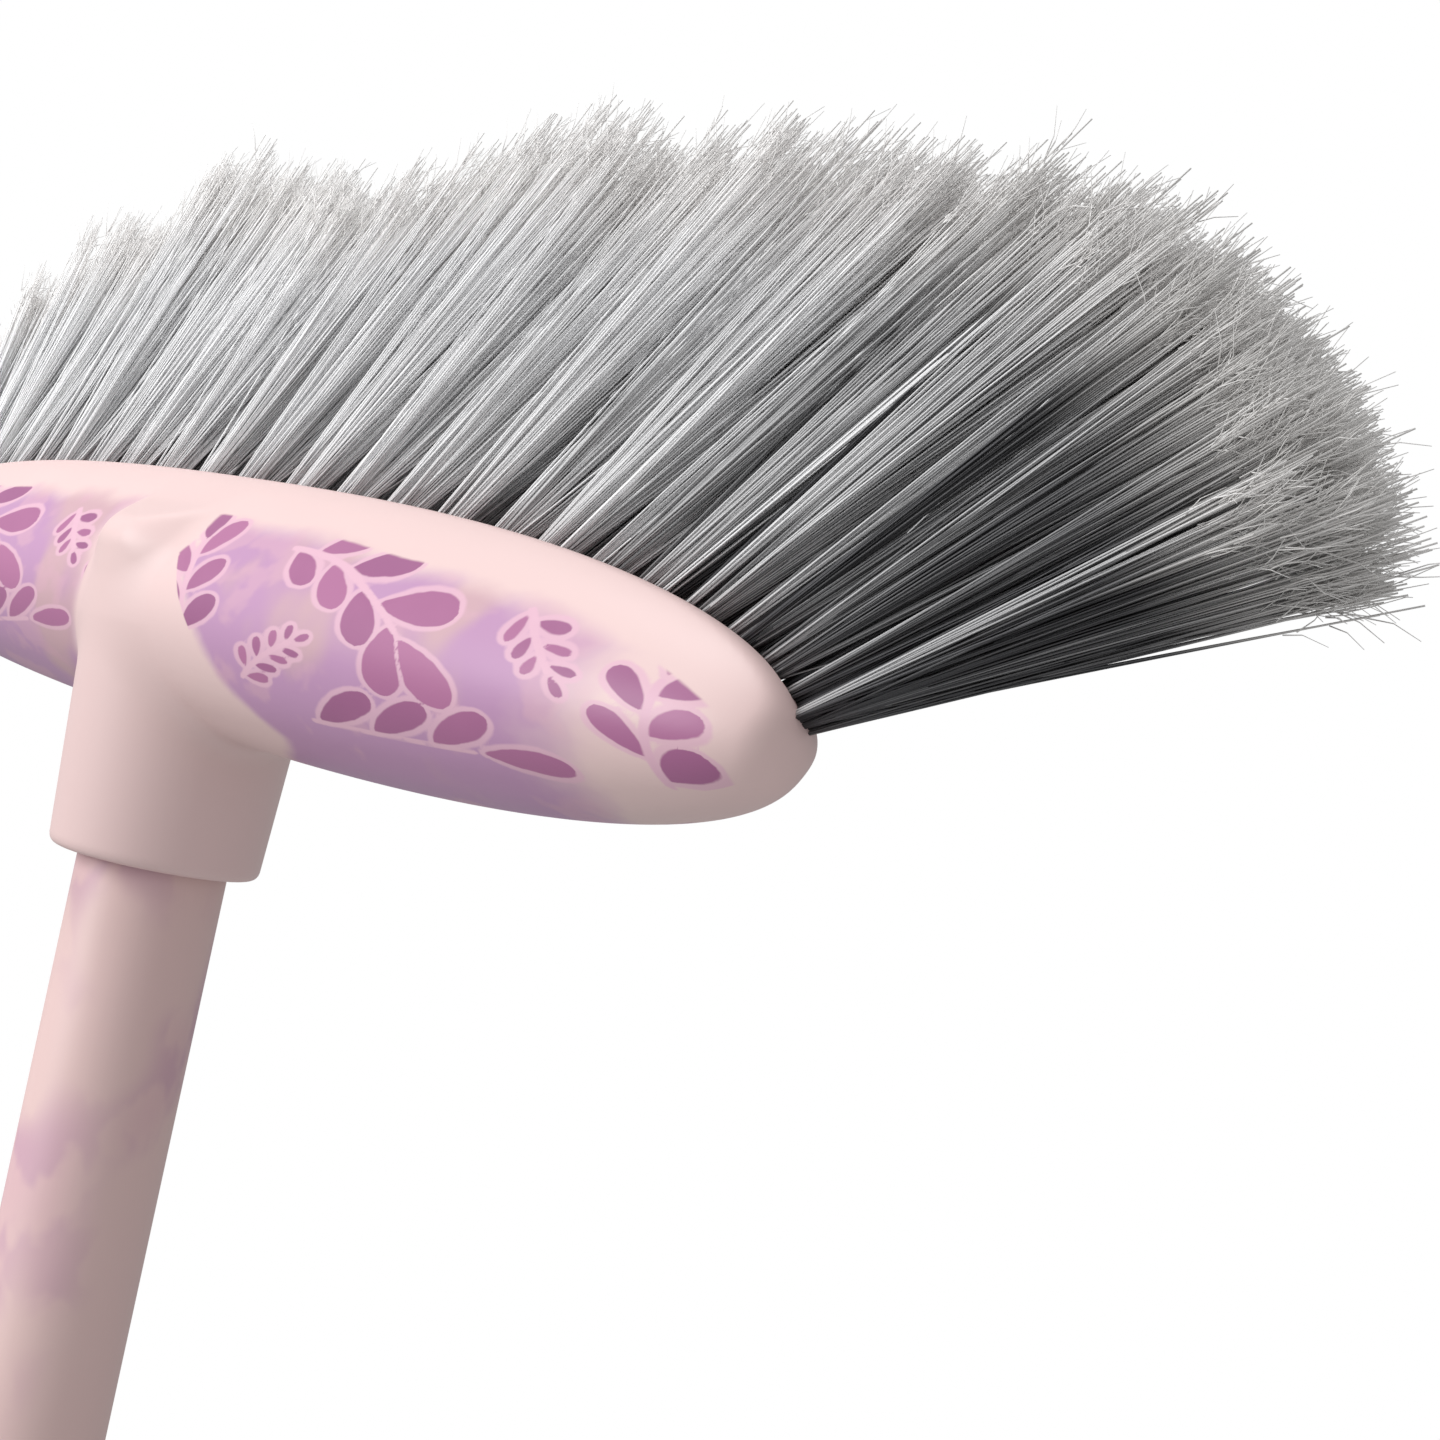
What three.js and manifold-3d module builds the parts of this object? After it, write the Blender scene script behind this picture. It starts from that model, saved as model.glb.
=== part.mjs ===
// A decorative household broom: a printed, spindle-shaped head with soft bristles on a screw-in handle.
// Millimetres, +Z up along the handle. The origin is the centre of the flat end of the handle's cap.

import * as THREE from "three";
import { mergeVertices } from "three/addons/utils/BufferGeometryUtils.js";
import Module from "manifold-3d";

const wasm = await Module();
wasm.setup();

// Driving dimensions: the head's outer form, measured from its long axis
const headLength = 277;
const headWidth = 33;
const bellyDepth = 16.9;
const rimHeight = 17.3;
const crownAboveRim = 5.7;
const lengthPower = 2.5;
const sectionPower = 2.3;
const headTilt = 34;
const axisOffset = 2.5;

// Driving dimensions: the cover's shell and the seat for the tuft block
const coverWall = 2.2;
const lipWidth = 1.2;
const seatDepth = 3.8;
const ledgeWidth = 1.9;
const ledgeThickness = 2;
const noseLength = 8;
const noseFlat = 1.2;
const cavityNose = 16;

// Driving dimensions: the handle socket
const socketLength = 39;
const socketMouthRadius = 15.4;
const socketDraft = 2.9;
const socketEdge = 0.8;
const ridgeTop = 8.5;
const ridgeSlope = 30;
const ridgeWidth = 19.4;
const ridgeFoot = -5;
const socketFloor = 2.4;

// Driving dimensions: the tuft block and the bristles
const plugDepth = 9;
const blockDrop = 0.5;
const stripBorder = 0.8;
const stripInset = 3;
const endStrandInset = 3.6;
const stripDepth = 2.4;
const rowCount = 4;
const strandsPerRow = 92;
const strandRadius = 0.7;
const bristleLength = 77;
const endShortening = 4;
const fanLinear = 30;
const fanSteep = 30;
const fanPower = 24;
const rowLean = 3;
const rootDepth = 1.5;
const fileSpread = 0.8;

// Driving dimensions: the handle
const handleReach = 1120;
const filmDiameter = 22;
const filmThickness = 0.4;
const tubeWall = 0.8;
const tubeInsert = 12;
const ferrulePlugLength = 28;
const ferruleShoulder = 2;
const ferruleWall = 2;
const threadDiameter = 19;
const threadDepth = 0.9;
const threadPitch = 4;
const threadTurns = 4;
const capLength = 46;
const capEndDiameter = 17;
const capDiameter = 24;
const capEdge = 1.5;
const capPlugLength = 24;
const hangHoleDiameter = 9;
const hangHoleHeight = 20;

// Clearances
const seatGap = 0.3;
const runningGap = 0.15;
const socketGap = 0.3;

// Facets
const roundSides = 40;
const lengthSteps = 32;
const shortestStep = 0.5;
const sectionSteps = 10;
const holeSides = 24;
const threadSides = 24;
const threadStepsPerTurn = 6;

// Worked-out places
const tilt = THREE.MathUtils.degToRad(headTilt);
const halfLength = headLength / 2;
const crownHeight = rimHeight + crownAboveRim;
const seatEnd = halfLength - noseLength;
const cavityEnd = halfLength - cavityNose;
const stripEnd = seatEnd - stripInset;
const lastStrandX = stripEnd - endStrandInset;
const mouthZ = handleReach;
const crossingZ = mouthZ + socketLength;
const filmRadius = filmDiameter / 2;
const tubeRadius = filmRadius - filmThickness - runningGap;
const tubeBore = tubeRadius - tubeWall;
const plugRadius = tubeBore - runningGap;
const threadRadius = threadDiameter / 2;
const threadLength = threadPitch * threadTurns;
const tubeTop = mouthZ + tubeInsert;

// Meshes and solids

// Turns a closed geometry into a solid for joining and cutting.
function solidOf(geometry) {
  const bare = geometry.clone();
  bare.deleteAttribute("normal");
  bare.deleteAttribute("uv");
  const merged = mergeVertices(bare, 1e-4);
  return new wasm.Manifold(new wasm.Mesh({
    numProp: 3,
    vertProperties: new Float32Array(merged.attributes.position.array),
    triVerts: new Uint32Array(merged.index.array),
  }));
}

// Turns a solid back into a geometry.
function geometryOf(solid) {
  const mesh = solid.getMesh();
  const geometry = new THREE.BufferGeometry();
  geometry.setAttribute("position", new THREE.BufferAttribute(new Float32Array(mesh.vertProperties), 3));
  geometry.setIndex(new THREE.BufferAttribute(new Uint32Array(mesh.triVerts), 1));
  geometry.computeVertexNormals();
  return geometry;
}

// Skins a row of closed rings, each wound anticlockwise about the way the rings run, and closes both ends.
function loft(rings) {
  const count = rings[0].length;
  const last = rings.length - 1;
  const points = rings.flat();
  const middle = (ring) => ring.reduce((sum, p) => sum.add(p), new THREE.Vector3()).divideScalar(count);
  const startCentre = points.push(middle(rings[0])) - 1;
  const endCentre = points.push(middle(rings[last])) - 1;
  const faces = [];
  for (let j = 0; j < count; j++) {
    const next = (j + 1) % count;
    faces.push(startCentre, next, j);
    faces.push(endCentre, last * count + j, last * count + next);
    for (let i = 0; i < last; i++) {
      const here = i * count;
      const ahead = here + count;
      faces.push(here + j, here + next, ahead + next);
      faces.push(here + j, ahead + next, ahead + j);
    }
  }
  const geometry = new THREE.BufferGeometry();
  geometry.setAttribute("position", new THREE.Float32BufferAttribute(points.flatMap((p) => p.toArray()), 3));
  geometry.setIndex(faces);
  return geometry;
}

// A turned piece about Z, from radius and height pairs.
function turned(pairs, sides = roundSides) {
  const profile = pairs.map(([radius, height]) => new THREE.Vector2(radius, height));
  const geometry = new THREE.LatheGeometry(profile, sides);
  return geometry.rotateX(Math.PI / 2);
}

function named(name, geometry, color, roughness, metalness = 0) {
  const material = new THREE.MeshStandardMaterial({ color, roughness, metalness });
  const mesh = new THREE.Mesh(geometry, material);
  mesh.name = name;
  return mesh;
}

// The head's outer form. In the head's own frame X runs along it, -Y is its front and +Z its bristle side.

// How far the section has shrunk at x, from 1 at mid length to 0 at the nose.
function taper(x, half) {
  return (1 - Math.abs(x / half) ** lengthPower) ** (1 / lengthPower);
}

// Places along the length, closer together towards the noses, and shared by all that follows the rim.
const places = Array.from({ length: lengthSteps - 1 }, (_, i) => (
  halfLength * Math.sin(Math.PI * ((i + 1) / lengthSteps - 1 / 2))
));

// The shared places between two ends, with the ends themselves.
function stations(end) {
  return [-end, ...places.filter((x) => Math.abs(x) < end - shortestStep), end];
}

// The angle round the section at which a crown of the given height reaches a height.
function sectionAngle(height, crown) {
  return Math.asin((height / crown) ** (sectionPower / 2));
}

const rimAngle = sectionAngle(rimHeight, crownHeight);
const rimHalfWidth = headWidth / 2 * Math.cos(rimAngle) ** (2 / sectionPower);
const rimAt = (x) => rimHeight * taper(x, halfLength);
const rimHalfAt = (x) => rimHalfWidth * taper(x, halfLength);

// One ring of the body, from the front edge at a height, under the belly, to the back edge.
function bodyRing(x, inset, height) {
  const shrink = taper(x, halfLength - inset);
  const half = (headWidth / 2 - inset) * shrink;
  const belly = (bellyDepth - inset) * shrink;
  const crown = (crownHeight - inset) * shrink;
  const top = sectionAngle(height, crown);
  const front = [];
  for (let i = 0; i <= sectionSteps; i++) {
    const angle = top - (top + Math.PI / 2) * i / sectionSteps;
    const across = half * Math.abs(Math.cos(angle)) ** (2 / sectionPower);
    const rise = Math.abs(Math.sin(angle)) ** (2 / sectionPower);
    front.push(new THREE.Vector3(x, -across, angle > 0 ? crown * rise : -belly * rise));
  }
  const keel = front.pop().setY(0);
  const back = front.map((p) => new THREE.Vector3(x, -p.y, p.z)).reverse();
  return [...front, keel, ...back];
}

// A bar that follows the rim, between two sides and two heights given along the length.
function rimBar(end, side, low, high, shift = () => 0) {
  return loft(stations(end).map((x) => [
    new THREE.Vector3(x, shift(x) - side(x), low(x)),
    new THREE.Vector3(x, shift(x) + side(x), low(x)),
    new THREE.Vector3(x, shift(x) + side(x), high(x)),
    new THREE.Vector3(x, shift(x) - side(x), high(x)),
  ]));
}

// The seat for the block: a shallow rebate inside the lip, and a deeper slot within its ledge
const seatHalfAt = (x) => rimHalfAt(x) - lipWidth;
const slotHalfAt = (x) => seatHalfAt(x) - ledgeWidth;
const seatFloorAt = (x) => rimAt(x) - seatDepth;
const slotFloorAt = (x) => rimAt(x) - plugDepth - seatGap;
const clearAt = (x) => rimAt(x) + plugDepth;
const slotEnd = cavityEnd;

// The cover: a hollow spindle with the handle socket running up its front as a ridge

// Moves a shape made about the handle axis into the head's frame.
const socketPlace = new THREE.Matrix4().makeRotationX(tilt).setPosition(0, -axisOffset, 0);

function socketRadiusAt(height) {
  return socketMouthRadius + (height + socketLength) * Math.tan(THREE.MathUtils.degToRad(socketDraft));
}

function socketCone() {
  const top = crownHeight;
  const cone = solidOf(turned([
    [0, -socketLength],
    [socketMouthRadius - socketEdge, -socketLength],
    [socketRadiusAt(socketEdge - socketLength), socketEdge - socketLength],
    [socketRadiusAt(top), top],
    [0, top],
  ]).applyMatrix4(socketPlace));
  const size = 4 * socketRadiusAt(top);
  const above = new THREE.BoxGeometry(size, size, size).translate(0, 0, size / 2);
  const facet = above.clone().rotateX(THREE.MathUtils.degToRad(ridgeSlope));
  facet.translate(0, -socketRadiusAt(ridgeTop), ridgeTop).applyMatrix4(socketPlace);
  const underBlock = above.clone().translate(0, 0, slotFloorAt(0));
  const beside = [-1, 1].map((hand) => {
    const across = hand * (ridgeWidth + size) / 2;
    return solidOf(above.clone().translate(across, 0, ridgeFoot).applyMatrix4(socketPlace));
  });
  return [solidOf(facet), solidOf(underBlock), ...beside].reduce((solid, cut) => solid.subtract(cut), cone);
}

const threadBore = threadRadius + socketGap;
const counterRadius = filmRadius + socketGap;
const counterDepth = tubeInsert + ferruleShoulder + seatGap;
const boreDepth = tubeInsert + ferruleShoulder + threadLength + socketFloor;

function socketBore() {
  return solidOf(turned([
    [0, -socketLength - socketEdge],
    [counterRadius + socketEdge, -socketLength - socketEdge],
    [counterRadius, socketEdge - socketLength],
    [counterRadius, counterDepth - socketLength],
    [threadBore, counterDepth - socketLength],
    [threadBore, boreDepth - socketLength],
    [0, boreDepth - socketLength],
  ]).applyMatrix4(socketPlace));
}

function headCover() {
  const outside = loft(stations(halfLength - noseFlat).map((x) => bodyRing(x, 0, rimAt(x))));
  const roofAt = (x) => seatFloorAt(x) - ledgeThickness;
  const inside = loft(stations(cavityEnd).map((x) => bodyRing(x, coverWall, roofAt(x))));
  const slot = rimBar(slotEnd, slotHalfAt, slotFloorAt, clearAt);
  const seat = rimBar(seatEnd, seatHalfAt, seatFloorAt, clearAt);
  const shell = solidOf(outside).subtract(solidOf(inside)).add(socketCone());
  return geometryOf(shell.subtract(solidOf(slot)).subtract(solidOf(seat)).subtract(socketBore()));
}

// The tuft block: a flange in the seat, a plug in the slot and a pocket for the rows
const flangeHalfAt = (x) => seatHalfAt(x) - seatGap;
const blockTopAt = (x) => rimAt(x) - blockDrop;
const pocketHalfAt = (x) => flangeHalfAt(x) - stripBorder;
const pocketFloorAt = (x) => blockTopAt(x) - stripDepth;

function tuftBlock() {
  const flange = rimBar(seatEnd - seatGap, flangeHalfAt, (x) => seatFloorAt(x) + seatGap, blockTopAt);
  const plugTopAt = (x) => pocketFloorAt(x) - seatGap;
  const plug = rimBar(slotEnd - seatGap, (x) => slotHalfAt(x) - seatGap, (x) => slotFloorAt(x) + seatGap, plugTopAt);
  const pocket = rimBar(stripEnd + seatGap, pocketHalfAt, (x) => pocketFloorAt(x) - seatGap, clearAt);
  return geometryOf(solidOf(flange).add(solidOf(plug)).subtract(solidOf(pocket)));
}

// The bristles: rows of strands that fan along the head and lean apart across it
const rowPitchAt = (x) => (2 * pocketHalfAt(x) - seatGap) / rowCount;
const stripHalfAt = (x) => (rowPitchAt(x) - seatGap) / 2;

// The two ends of one strand: its root inside its strip, and its tip.
function strandEnds(x, y) {
  const along = x / lastStrandX;
  const across = y / flangeHalfAt(x);
  const fan = THREE.MathUtils.degToRad(fanLinear * along + fanSteep * Math.sign(along) * Math.abs(along) ** fanPower);
  const lean = THREE.MathUtils.degToRad(rowLean * across);
  const root = new THREE.Vector3(x, y, blockTopAt(x) - rootDepth);
  const way = new THREE.Vector3(Math.sin(fan), Math.sin(lean), Math.cos(fan)).normalize();
  const length = rootDepth + bristleLength - endShortening * along ** 2;
  return [root, root.clone().addScaledVector(way, length)];
}

// A three-sided strand between its two ends.
function strand([root, tip]) {
  const way = tip.clone().sub(root).normalize();
  const side = new THREE.Vector3(0, 1, 0).cross(way).normalize();
  const other = way.clone().cross(side);
  return loft([root, tip].map((p) => [0, 1, 2].map((corner) => {
    const angle = corner * 2 * Math.PI / 3;
    return p.clone()
      .addScaledVector(side, strandRadius * Math.cos(angle))
      .addScaledVector(other, strandRadius * Math.sin(angle));
  })));
}

// One row: its strip of the block with two staggered files of strands standing in it.
function tuftRow(row) {
  const centreAt = (x) => (row - (rowCount - 1) / 2) * rowPitchAt(x);
  const strip = rimBar(stripEnd, stripHalfAt, pocketFloorAt, blockTopAt, centreAt);
  let solid = solidOf(strip);
  const step = 2 * lastStrandX / (strandsPerRow - 1);
  for (let i = 0; i < strandsPerRow; i++) {
    const x = step * i - lastStrandX;
    const stagger = (i % 2 ? 1 : -1) * (stripHalfAt(x) - strandRadius) * fileSpread;
    solid = solid.add(solidOf(strand(strandEnds(x, centreAt(x) + stagger))));
  }
  return geometryOf(solid);
}

// The handle

// The screw thread: a helix worked out as a wave on a round core that fades at both ends.
function thread(bottom) {
  const steps = threadTurns * threadStepsPerTurn;
  const rings = [];
  for (let i = 0; i <= steps; i++) {
    const height = threadLength * i / steps;
    const fade = Math.min(1, height / (threadPitch / 2), (threadLength - height) / (threadPitch / 2));
    rings.push(Array.from({ length: threadSides }, (_, j) => {
      const turn = 2 * Math.PI * j / threadSides;
      const wave = Math.cos(2 * Math.PI * height / threadPitch - turn);
      const radius = threadRadius - threadDepth + threadDepth * fade * (0.5 + 0.5 * wave);
      return new THREE.Vector3(radius * Math.cos(turn), radius * Math.sin(turn), bottom + height);
    }));
  }
  return loft(rings);
}

function threadFerrule() {
  const core = threadRadius - threadDepth;
  const shoulderTop = tubeTop + ferruleShoulder;
  const plugBottom = tubeTop - ferrulePlugLength;
  const plug = turned([
    [plugRadius - ferruleWall, plugBottom],
    [plugRadius, plugBottom],
    [plugRadius, tubeTop + runningGap],
    [tubeRadius, tubeTop + runningGap],
    [tubeRadius, shoulderTop],
    [core, shoulderTop],
    [core, shoulderTop + threadPitch],
    [0, shoulderTop + threadPitch],
    [0, tubeTop],
    [plugRadius - ferruleWall, tubeTop],
    [plugRadius - ferruleWall, plugBottom],
  ]);
  return geometryOf(solidOf(plug).add(solidOf(thread(shoulderTop))));
}

function tubeBetween(inner, outer, bottom, top) {
  return turned([[inner, bottom], [outer, bottom], [outer, top], [inner, top], [inner, bottom]]);
}

function endCap() {
  const capRadius = capDiameter / 2;
  const body = solidOf(turned([
    [0, 0],
    [capEndDiameter / 2 - capEdge, 0],
    [capEndDiameter / 2, capEdge],
    [capRadius, capLength - capEdge],
    [capRadius - capEdge, capLength],
    [plugRadius, capLength],
    [plugRadius, capLength + capPlugLength],
    [0, capLength + capPlugLength],
  ]));
  const hole = new THREE.CylinderGeometry(hangHoleDiameter / 2, hangHoleDiameter / 2, 2 * capDiameter, holeSides);
  hole.rotateZ(Math.PI / 2).translate(0, 0, hangHoleHeight);
  return geometryOf(body.subtract(solidOf(hole)));
}

// Colours
const pink = "#e4c8c5";
const mauve = "#c9a5bd";
const blockPink = "#cdb0b0";
const bristleGrey = "#b9b9bb";
const steelGrey = "#b4b6b8";
const capPink = "#d9b9ba";
const ferruleGrey = "#8e8a8c";

// Assembly: the head leans back on the handle axis, about the point where that axis crosses its length
const broom = new THREE.Group();
const head = new THREE.Group();
head.position.set(0, axisOffset * Math.cos(tilt), crossingZ - axisOffset * Math.sin(tilt));
head.rotation.x = -tilt;
broom.add(head);

head.add(named("head_cover", headCover(), pink, 0.42));
head.add(named("tuft_block", tuftBlock(), blockPink, 0.5));
for (let row = 0; row < rowCount; row++) {
  head.add(named(`tuft_row_${row + 1}`, tuftRow(row), bristleGrey, 0.6));
}

broom.add(named("thread_ferrule", threadFerrule(), ferruleGrey, 0.5));
broom.add(named("handle_tube", tubeBetween(tubeBore, tubeRadius, capLength + seatGap, tubeTop), steelGrey, 0.35, 1));
broom.add(named(
  "handle_film",
  tubeBetween(filmRadius - filmThickness, filmRadius, capLength + seatGap, tubeTop),
  mauve,
  0.45,
));
broom.add(named("end_cap", endCap(), capPink, 0.5));

export default broom;
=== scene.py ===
"""Dresses a decorative household broom: a printed head, soft bristles and a film-covered handle."""

import logging
import math
from contextlib import contextmanager
from dataclasses import dataclass, field
from enum import Enum
from typing import Callable, Iterator, Optional, Sequence, Union

import bpy
import numpy as np
from mathutils import Matrix, Vector


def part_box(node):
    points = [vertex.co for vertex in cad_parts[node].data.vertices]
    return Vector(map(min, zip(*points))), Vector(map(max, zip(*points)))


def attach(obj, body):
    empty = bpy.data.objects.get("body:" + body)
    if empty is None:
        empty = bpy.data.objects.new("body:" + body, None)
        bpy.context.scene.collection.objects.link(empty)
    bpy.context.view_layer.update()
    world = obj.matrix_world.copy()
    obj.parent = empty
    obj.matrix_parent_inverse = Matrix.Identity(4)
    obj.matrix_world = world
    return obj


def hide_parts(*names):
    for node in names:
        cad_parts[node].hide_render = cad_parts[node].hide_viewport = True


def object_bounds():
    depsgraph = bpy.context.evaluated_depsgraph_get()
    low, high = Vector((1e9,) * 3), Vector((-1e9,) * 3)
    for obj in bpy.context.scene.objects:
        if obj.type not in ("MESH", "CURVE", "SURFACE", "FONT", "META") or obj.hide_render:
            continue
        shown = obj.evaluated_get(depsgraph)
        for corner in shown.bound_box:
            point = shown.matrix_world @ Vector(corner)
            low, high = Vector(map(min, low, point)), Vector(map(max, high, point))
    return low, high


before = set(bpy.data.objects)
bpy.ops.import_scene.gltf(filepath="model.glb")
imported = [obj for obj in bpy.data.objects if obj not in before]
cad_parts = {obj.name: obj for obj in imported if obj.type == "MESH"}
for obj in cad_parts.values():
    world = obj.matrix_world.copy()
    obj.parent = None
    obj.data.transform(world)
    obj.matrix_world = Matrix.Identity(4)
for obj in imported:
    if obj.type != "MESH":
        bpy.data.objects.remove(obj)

logging.basicConfig(level=logging.INFO, format="%(message)s")
LOG = logging.getLogger("broom")

MM = 0.001
MERGE = 0.001 * MM
CAD_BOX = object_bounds()

Triple = tuple[float, float, float]
Span = tuple[float, float]
Value = Union["Wire", float]
Field = Callable[[np.ndarray], np.ndarray]


class Side(Enum):
    """The two printed faces of the head, by the sign of their Y."""

    FRONT = -1
    BACK = 1


class LeafKind(Enum):
    """Sorts of sprig: a leaf's width for its length, its angle off the stem, and the sides it grows on."""

    BROAD = (0.5, 40, (-1, 1))
    FERN = (0.4, 48, (-1, 1))
    BLADE = (0.36, 34, (1,))


def srgb(red: int, green: int, blue: int) -> Triple:
    """Turns a screen colour into the linear one that a shader takes.

    Args:
        red, green, blue: The colour in steps of 0 to 255.

    Returns:
        The linear colour.
    """

    def linear(step: int) -> float:
        """One channel by the screen standard's curve."""
        share = step / 255
        return share / 12.92 if share <= 0.04045 else ((share + 0.055) / 1.055) ** 2.4

    return linear(red), linear(green), linear(blue)


# Shader maths


class Wire:
    """A shader value that takes part in Python arithmetic."""

    def __init__(self, graph: "Graph", socket: bpy.types.NodeSocket) -> None:
        """Keeps the output socket and the graph that it belongs to."""
        self.graph = graph
        self.socket = socket

    def __add__(self, other: Value) -> "Wire":
        """Adds."""
        return self.graph.math("ADD", self, other)

    def __radd__(self, other: Value) -> "Wire":
        """Adds, from the right."""
        return self.graph.math("ADD", other, self)

    def __sub__(self, other: Value) -> "Wire":
        """Takes away."""
        return self.graph.math("SUBTRACT", self, other)

    def __rsub__(self, other: Value) -> "Wire":
        """Takes away, from the right."""
        return self.graph.math("SUBTRACT", other, self)

    def __mul__(self, other: Value) -> "Wire":
        """Multiplies."""
        return self.graph.math("MULTIPLY", self, other)

    def __rmul__(self, other: Value) -> "Wire":
        """Multiplies, from the right."""
        return self.graph.math("MULTIPLY", other, self)

    def above(self, span: Span) -> "Wire":
        """Rises smoothly from 0 to 1.

        Args:
            span: Where the rise starts and ends.

        Returns:
            The step.
        """
        return self.graph.add(
            "ShaderNodeMapRange",
            {"interpolation_type": "SMOOTHSTEP", "clamp": True},
            {"Value": self, "From Min": span[0], "From Max": span[1]},
        )

    def below(self, span: Span) -> "Wire":
        """Falls smoothly from 1 to 0 over a span."""
        return 1 - self.above(span)


@dataclass(frozen=True)
class Lumps:
    """Cloudy noise: lumps per metre, octaves, weight of the finer ones, and a squeeze along each axis."""

    scale: float
    detail: float = 2.0
    rough: float = 0.5
    squeeze: Triple = (1.0, 1.0, 1.0)


class Graph:
    """One material's nodes, with a single way to add any of them."""

    def __init__(self, name: str) -> None:
        """Makes an empty node material.

        Args:
            name: The material's name.
        """
        self.material = bpy.data.materials.new(name)
        self.material.use_nodes = True
        self.tree = self.material.node_tree
        self.tree.nodes.clear()

    def add(
        self,
        kind: str,
        settings: Optional[dict] = None,
        sockets: Optional[dict] = None,
        output: Union[str, int] = 0,
    ) -> Wire:
        """Adds a node.

        Args:
            kind: The node's type.
            settings: Its properties, which are set first.
            sockets: Values or wires for its inputs, by name or number.
            output: The output to hand back.

        Returns:
            That output as a wire.
        """
        node = self.tree.nodes.new(kind)
        for key, value in (settings or {}).items():
            setattr(node, key, value)
        for key, value in (sockets or {}).items():
            self.plug(node.inputs[key], value)
        return Wire(self, node.outputs[output])

    def plug(self, socket: bpy.types.NodeSocket, value: object) -> None:
        """Links a wire to an input, or sets the input's own value.

        Args:
            socket: The input.
            value: A wire, a number, or a colour of three parts.
        """
        if isinstance(value, Wire):
            self.tree.links.new(value.socket, socket)
        elif isinstance(value, tuple) and len(value) == 3 and len(socket.default_value) == 4:
            socket.default_value = (*value, 1.0)
        else:
            socket.default_value = value

    def math(self, operation: str, first: Value, second: Value) -> Wire:
        """Adds a Math node for two values."""
        return self.add("ShaderNodeMath", {"operation": operation}, {0: first, 1: second})

    def attribute(self, name: str) -> Wire:
        """A number kept on the piece's points."""
        return self.add("ShaderNodeAttribute", {"attribute_name": name}, output="Fac")

    def noise(self, lumps: Lumps) -> Wire:
        """Cloudy noise about 0.5 on the piece's own coordinates.

        Args:
            lumps: How large and how soft it is.

        Returns:
            The noise.
        """
        coords = self.add("ShaderNodeTexCoord", output="Object")
        where = self.add("ShaderNodeMapping", None, {"Vector": coords, "Scale": lumps.squeeze})
        sockets = {"Vector": where, "Scale": lumps.scale, "Detail": lumps.detail, "Roughness": lumps.rough}
        return self.add("ShaderNodeTexNoise", None, sockets, "Fac")

    def mix(self, share: Value, first: Union[Wire, Triple], second: Union[Wire, Triple]) -> Wire:
        """Blends two colours.

        Args:
            share: How much of the second.
            first, second: The colours.

        Returns:
            The blend.
        """
        settings = {"data_type": "RGBA", "clamp_factor": True}
        return self.add("ShaderNodeMix", settings, {0: share, 6: first, 7: second}, 2)

    def bump(self, height: Wire, distance: float, strength: float) -> Wire:
        """A bump for Normal, from a height of 0 to 1 over a distance in metres."""
        sockets = {"Height": height, "Distance": distance, "Strength": strength}
        return self.add("ShaderNodeBump", None, sockets)

    def surface(self, **sockets: object) -> bpy.types.Material:
        """Ends the graph in a Principled shader.

        Args:
            sockets: Its inputs, with underscores for spaces.

        Returns:
            The finished material.
        """
        plain = {key.replace("_", " "): value for key, value in sockets.items()}
        shader = self.add("ShaderNodeBsdfPrincipled", None, plain)
        end = self.tree.nodes.new("ShaderNodeOutputMaterial")
        self.plug(end.inputs["Surface"], shader)
        return self.material


# Finishes


@dataclass(frozen=True)
class Satin:
    """What the plastics share: roughness that swings with their clouds, fine grain, and gloss."""

    roughness: float
    swing: float = 0.1
    grain: Lumps = Lumps(900)
    grain_height: float = 0.02 * MM
    grain_strength: float = 0.35
    gloss: float = 0.45

    def finish(self, graph: Graph, colour: Wire, cloud: Wire) -> bpy.types.Material:
        """Ends a plastic's graph.

        Args:
            graph: The graph to end.
            colour: The plastic's colour.
            cloud: Noise that its roughness follows.

        Returns:
            The finished material.
        """
        return graph.surface(
            Base_Color=colour,
            Roughness=self.roughness + self.swing * cloud,
            Normal=graph.bump(graph.noise(self.grain), self.grain_height, self.grain_strength),
            Specular_IOR_Level=self.gloss,
        )


@dataclass(frozen=True)
class Moulding:
    """Plain satin plastic with a faint mottle."""

    name: str
    colour: Triple
    satin: Satin
    mottle: Lumps = Lumps(40, 3)
    mottle_span: Span = (0.3, 0.75)
    mottle_depth: float = 0.88

    def material(self) -> bpy.types.Material:
        """Builds the finish.

        Returns:
            The material.
        """
        graph = Graph(self.name)
        mottle = graph.noise(self.mottle)
        deep = tuple(self.mottle_depth * part for part in self.colour)
        tint = graph.mix(mottle.above(self.mottle_span), deep, self.colour)
        return self.satin.finish(graph, tint, mottle)


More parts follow.
